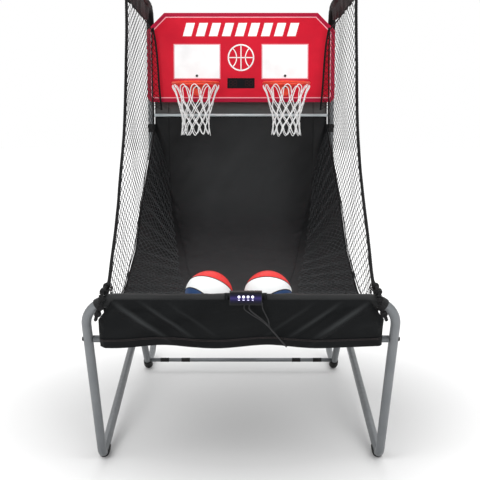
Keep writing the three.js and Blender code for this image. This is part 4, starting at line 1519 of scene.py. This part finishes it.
def build_controller():
    """Lit caps and icons on the four buttons, and a lit line under each."""
    lit = glow("lit_icon", (0.62, 0.55, 1.0), 2.6)
    cap = glow("lit_cap", (0.10, 0.07, 0.42), 0.5)
    panel_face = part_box("controller_panel")[0].y
    marks = Build()
    for node, kind in ICONS.items():
        face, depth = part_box(node)[0].y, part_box(node)[1].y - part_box(node)[0].y - 0.0002
        x, z = middle(node).x, middle(node).z
        build, icon = Build(), Build()
        profile = [(FINE_AXIS_R, 0), (CAP_R - CAP_EDGE, 0), (CAP_R, CAP_EDGE), (CAP_R, depth),
                   (FINE_AXIS_R, depth)]
        turned(build, profile, (x, face, z), (0, 1, 0), 32)
        finish_piece(build.object(f"{node}_cap", cap), node, "button_lit", node)
        prism(icon, icon_outline(kind, x, z), face - 0.0003, face + 0.0002)
        finish_piece(icon.object(f"{node}_icon", lit, smooth=False), node, "button_lit")
        mark = rectangle(x, z - MARK_DROP, MARK_WIDTH, MARK_HEIGHT)
        prism(marks, mark, panel_face - 0.0002, panel_face + 0.0001)
    finish_piece(marks.object("panel_marks", lit, smooth=False), FRONT, "button_lit")
    build_controller_straps()


def build_controller_straps():
    """Webbing that holds the controller to the front bar."""
    low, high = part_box("controller_housing")
    radius, half, wall = 0.0226, 0.009, 0.0014
    build = Build()
    for x in (low.x - 0.008, high.x + 0.008):
        pipe(build, [(x - half, BAR.y, BAR.z), (x + half, BAR.y, BAR.z)], radius, wall, 40)
    finish_piece(build.object("controller_straps", HEM_FABRIC), FRONT, "fabric_black")


def build_cable():
    """The controller's cable and two thinner ones that join it, hanging down the apron."""
    low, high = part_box("controller_cable")
    start = Vector((low.x + 0.003, low.y + 0.003, high.z))
    end = Vector((high.x - 0.003, high.y - 0.003, low.z + 0.003))
    out = Vector((0, -0.004, 0))
    meet = start.lerp(end, 0.55) + out
    build = Build()
    for shift, radius in (((0, 0, 0), 0.0025), ((-0.016, 0, 0), 0.0019), ((0.042, 0, 0.004), 0.0019)):
        top = start + Vector(shift)
        path = [top, top + Vector((0.002, 0, -0.020)),
                top.lerp(meet, 0.6) + Vector((0.004, -0.004, -0.006)), meet,
                start.lerp(end, 0.78) + out * 0.5, end]
        cord(build, smooth_line(path, 12), radius, 12)
    finish_piece(build.object("controller_cable_fine", PLASTIC), FRONT, "black_plastic", "controller_cable")


# ---- stage ----
def build_world():
    """White backdrop for the camera. The light it gives is stronger from above than from the sides."""
    world = bpy.data.worlds.new("studio")
    world.use_nodes = True
    tree = world.node_tree
    split = tree.nodes.new("ShaderNodeSeparateXYZ")
    tree.links.new(tree.nodes.new("ShaderNodeTexCoord").outputs["Generated"], split.inputs[0])
    strength = tree.nodes.new("ShaderNodeMix")
    seen = tree.nodes.new("ShaderNodeLightPath").outputs["Is Camera Ray"]
    tree.links.new(seen, strength.inputs["Factor"])
    tree.links.new(map_range(tree, split.outputs["Z"], (0.0, 0.9, 0.45, 1.45)), strength.inputs["A"])
    strength.inputs["B"].default_value = 1.0
    background = tree.nodes["Background"]
    background.inputs["Color"].default_value = (1, 1, 1, 1)
    tree.links.new(strength.outputs["Result"], background.inputs["Strength"])
    bpy.context.scene.world = world


# Lamp name: place, size, power
LAMPS = {"key": ((-2.2, -4.2, 3.4), 3.0, 120), "fill": ((3.0, -3.2, 2.6), 3.0, 55),
         "back": ((0.0, 3.2, 4.2), 3.0, 25)}
LAMP_AIM = Vector((0, 0, 0.9))
FLOOR_HALF = 60


def build_floor():
    """Pale floor. The lamps don't reach its far part, which glows a little instead."""
    floor = Shader("pale_floor", (0.68, 0.68, 0.68), 0.8, Specular_IOR_Level=0.1)
    floor.gloss(2, 0.75, 0.85)
    floor.bsdf.inputs["Emission Color"].default_value = (1, 1, 1, 1)
    away = floor.node("ShaderNodeVectorMath", operation="LENGTH")
    floor.link(floor.where, away.inputs[0])
    floor.link(map_range(floor.tree, away.outputs["Value"], (0.7, 1.7, 0.0, 0.35)),
               floor.bsdf.inputs["Emission Strength"])
    build = Build()
    build.add([(x * FLOOR_HALF, y * FLOOR_HALF, 0) for x, y in ((-1, -1), (1, -1), (1, 1), (-1, 1))],
              [(0, 1, 2, 3)])
    obj = build.object("floor", floor.mat, smooth=False)
    obj.location.z = -0.0005


def build_lamps():
    for name, (place, size, power) in LAMPS.items():
        light = bpy.data.lights.new(name, "AREA")
        light.energy, light.size = power, size
        lamp = bpy.data.objects.new(name, light)
        lamp.location = place
        lamp.rotation_euler = (LAMP_AIM - Vector(place)).to_track_quat("-Z", "Y").to_euler()
        bpy.context.scene.collection.objects.link(lamp)


CAMERA_BACK, CAMERA_HEIGHT = 4.085, 1.247   # distance in front of the CAD's datum line, and height
CAMERA_DOWN, CAMERA_TURN = 6.7, 0.06        # pitch below level and turn to the left, in degrees


def build_camera():
    camera = bpy.data.cameras.new("camera")
    camera.lens, camera.sensor_width = 69, 36
    obj = bpy.data.objects.new("camera", camera)
    obj.location = (0, DATUM - CAMERA_BACK, CAMERA_HEIGHT)
    obj.rotation_euler = (math.radians(90 - CAMERA_DOWN), 0, math.radians(CAMERA_TURN))
    bpy.context.scene.collection.objects.link(obj)
    bpy.context.scene.camera = obj
    bpy.context.scene.view_settings.view_transform = "Standard"


build_tubes()
build_cross_tubes()
build_stretcher_bands()
build_joint_sleeves()
build_arm_caps()
build_feet()
build_apron_bar_ends()
dress_cad_parts()
build_board_graphics()
build_display_digits()
build_rims()
build_ramp()
build_side_nets()
build_arm_sleeves()
build_front_bar_cloth()
build_apron()
build_corner_ties()
build_upright_ties()
build_board_border()
build_ball("left", 0.30, 0.75)
build_ball("right", 0.06, -0.55)
build_controller()
build_cable()
build_floor()
build_world()
build_lamps()
build_camera()
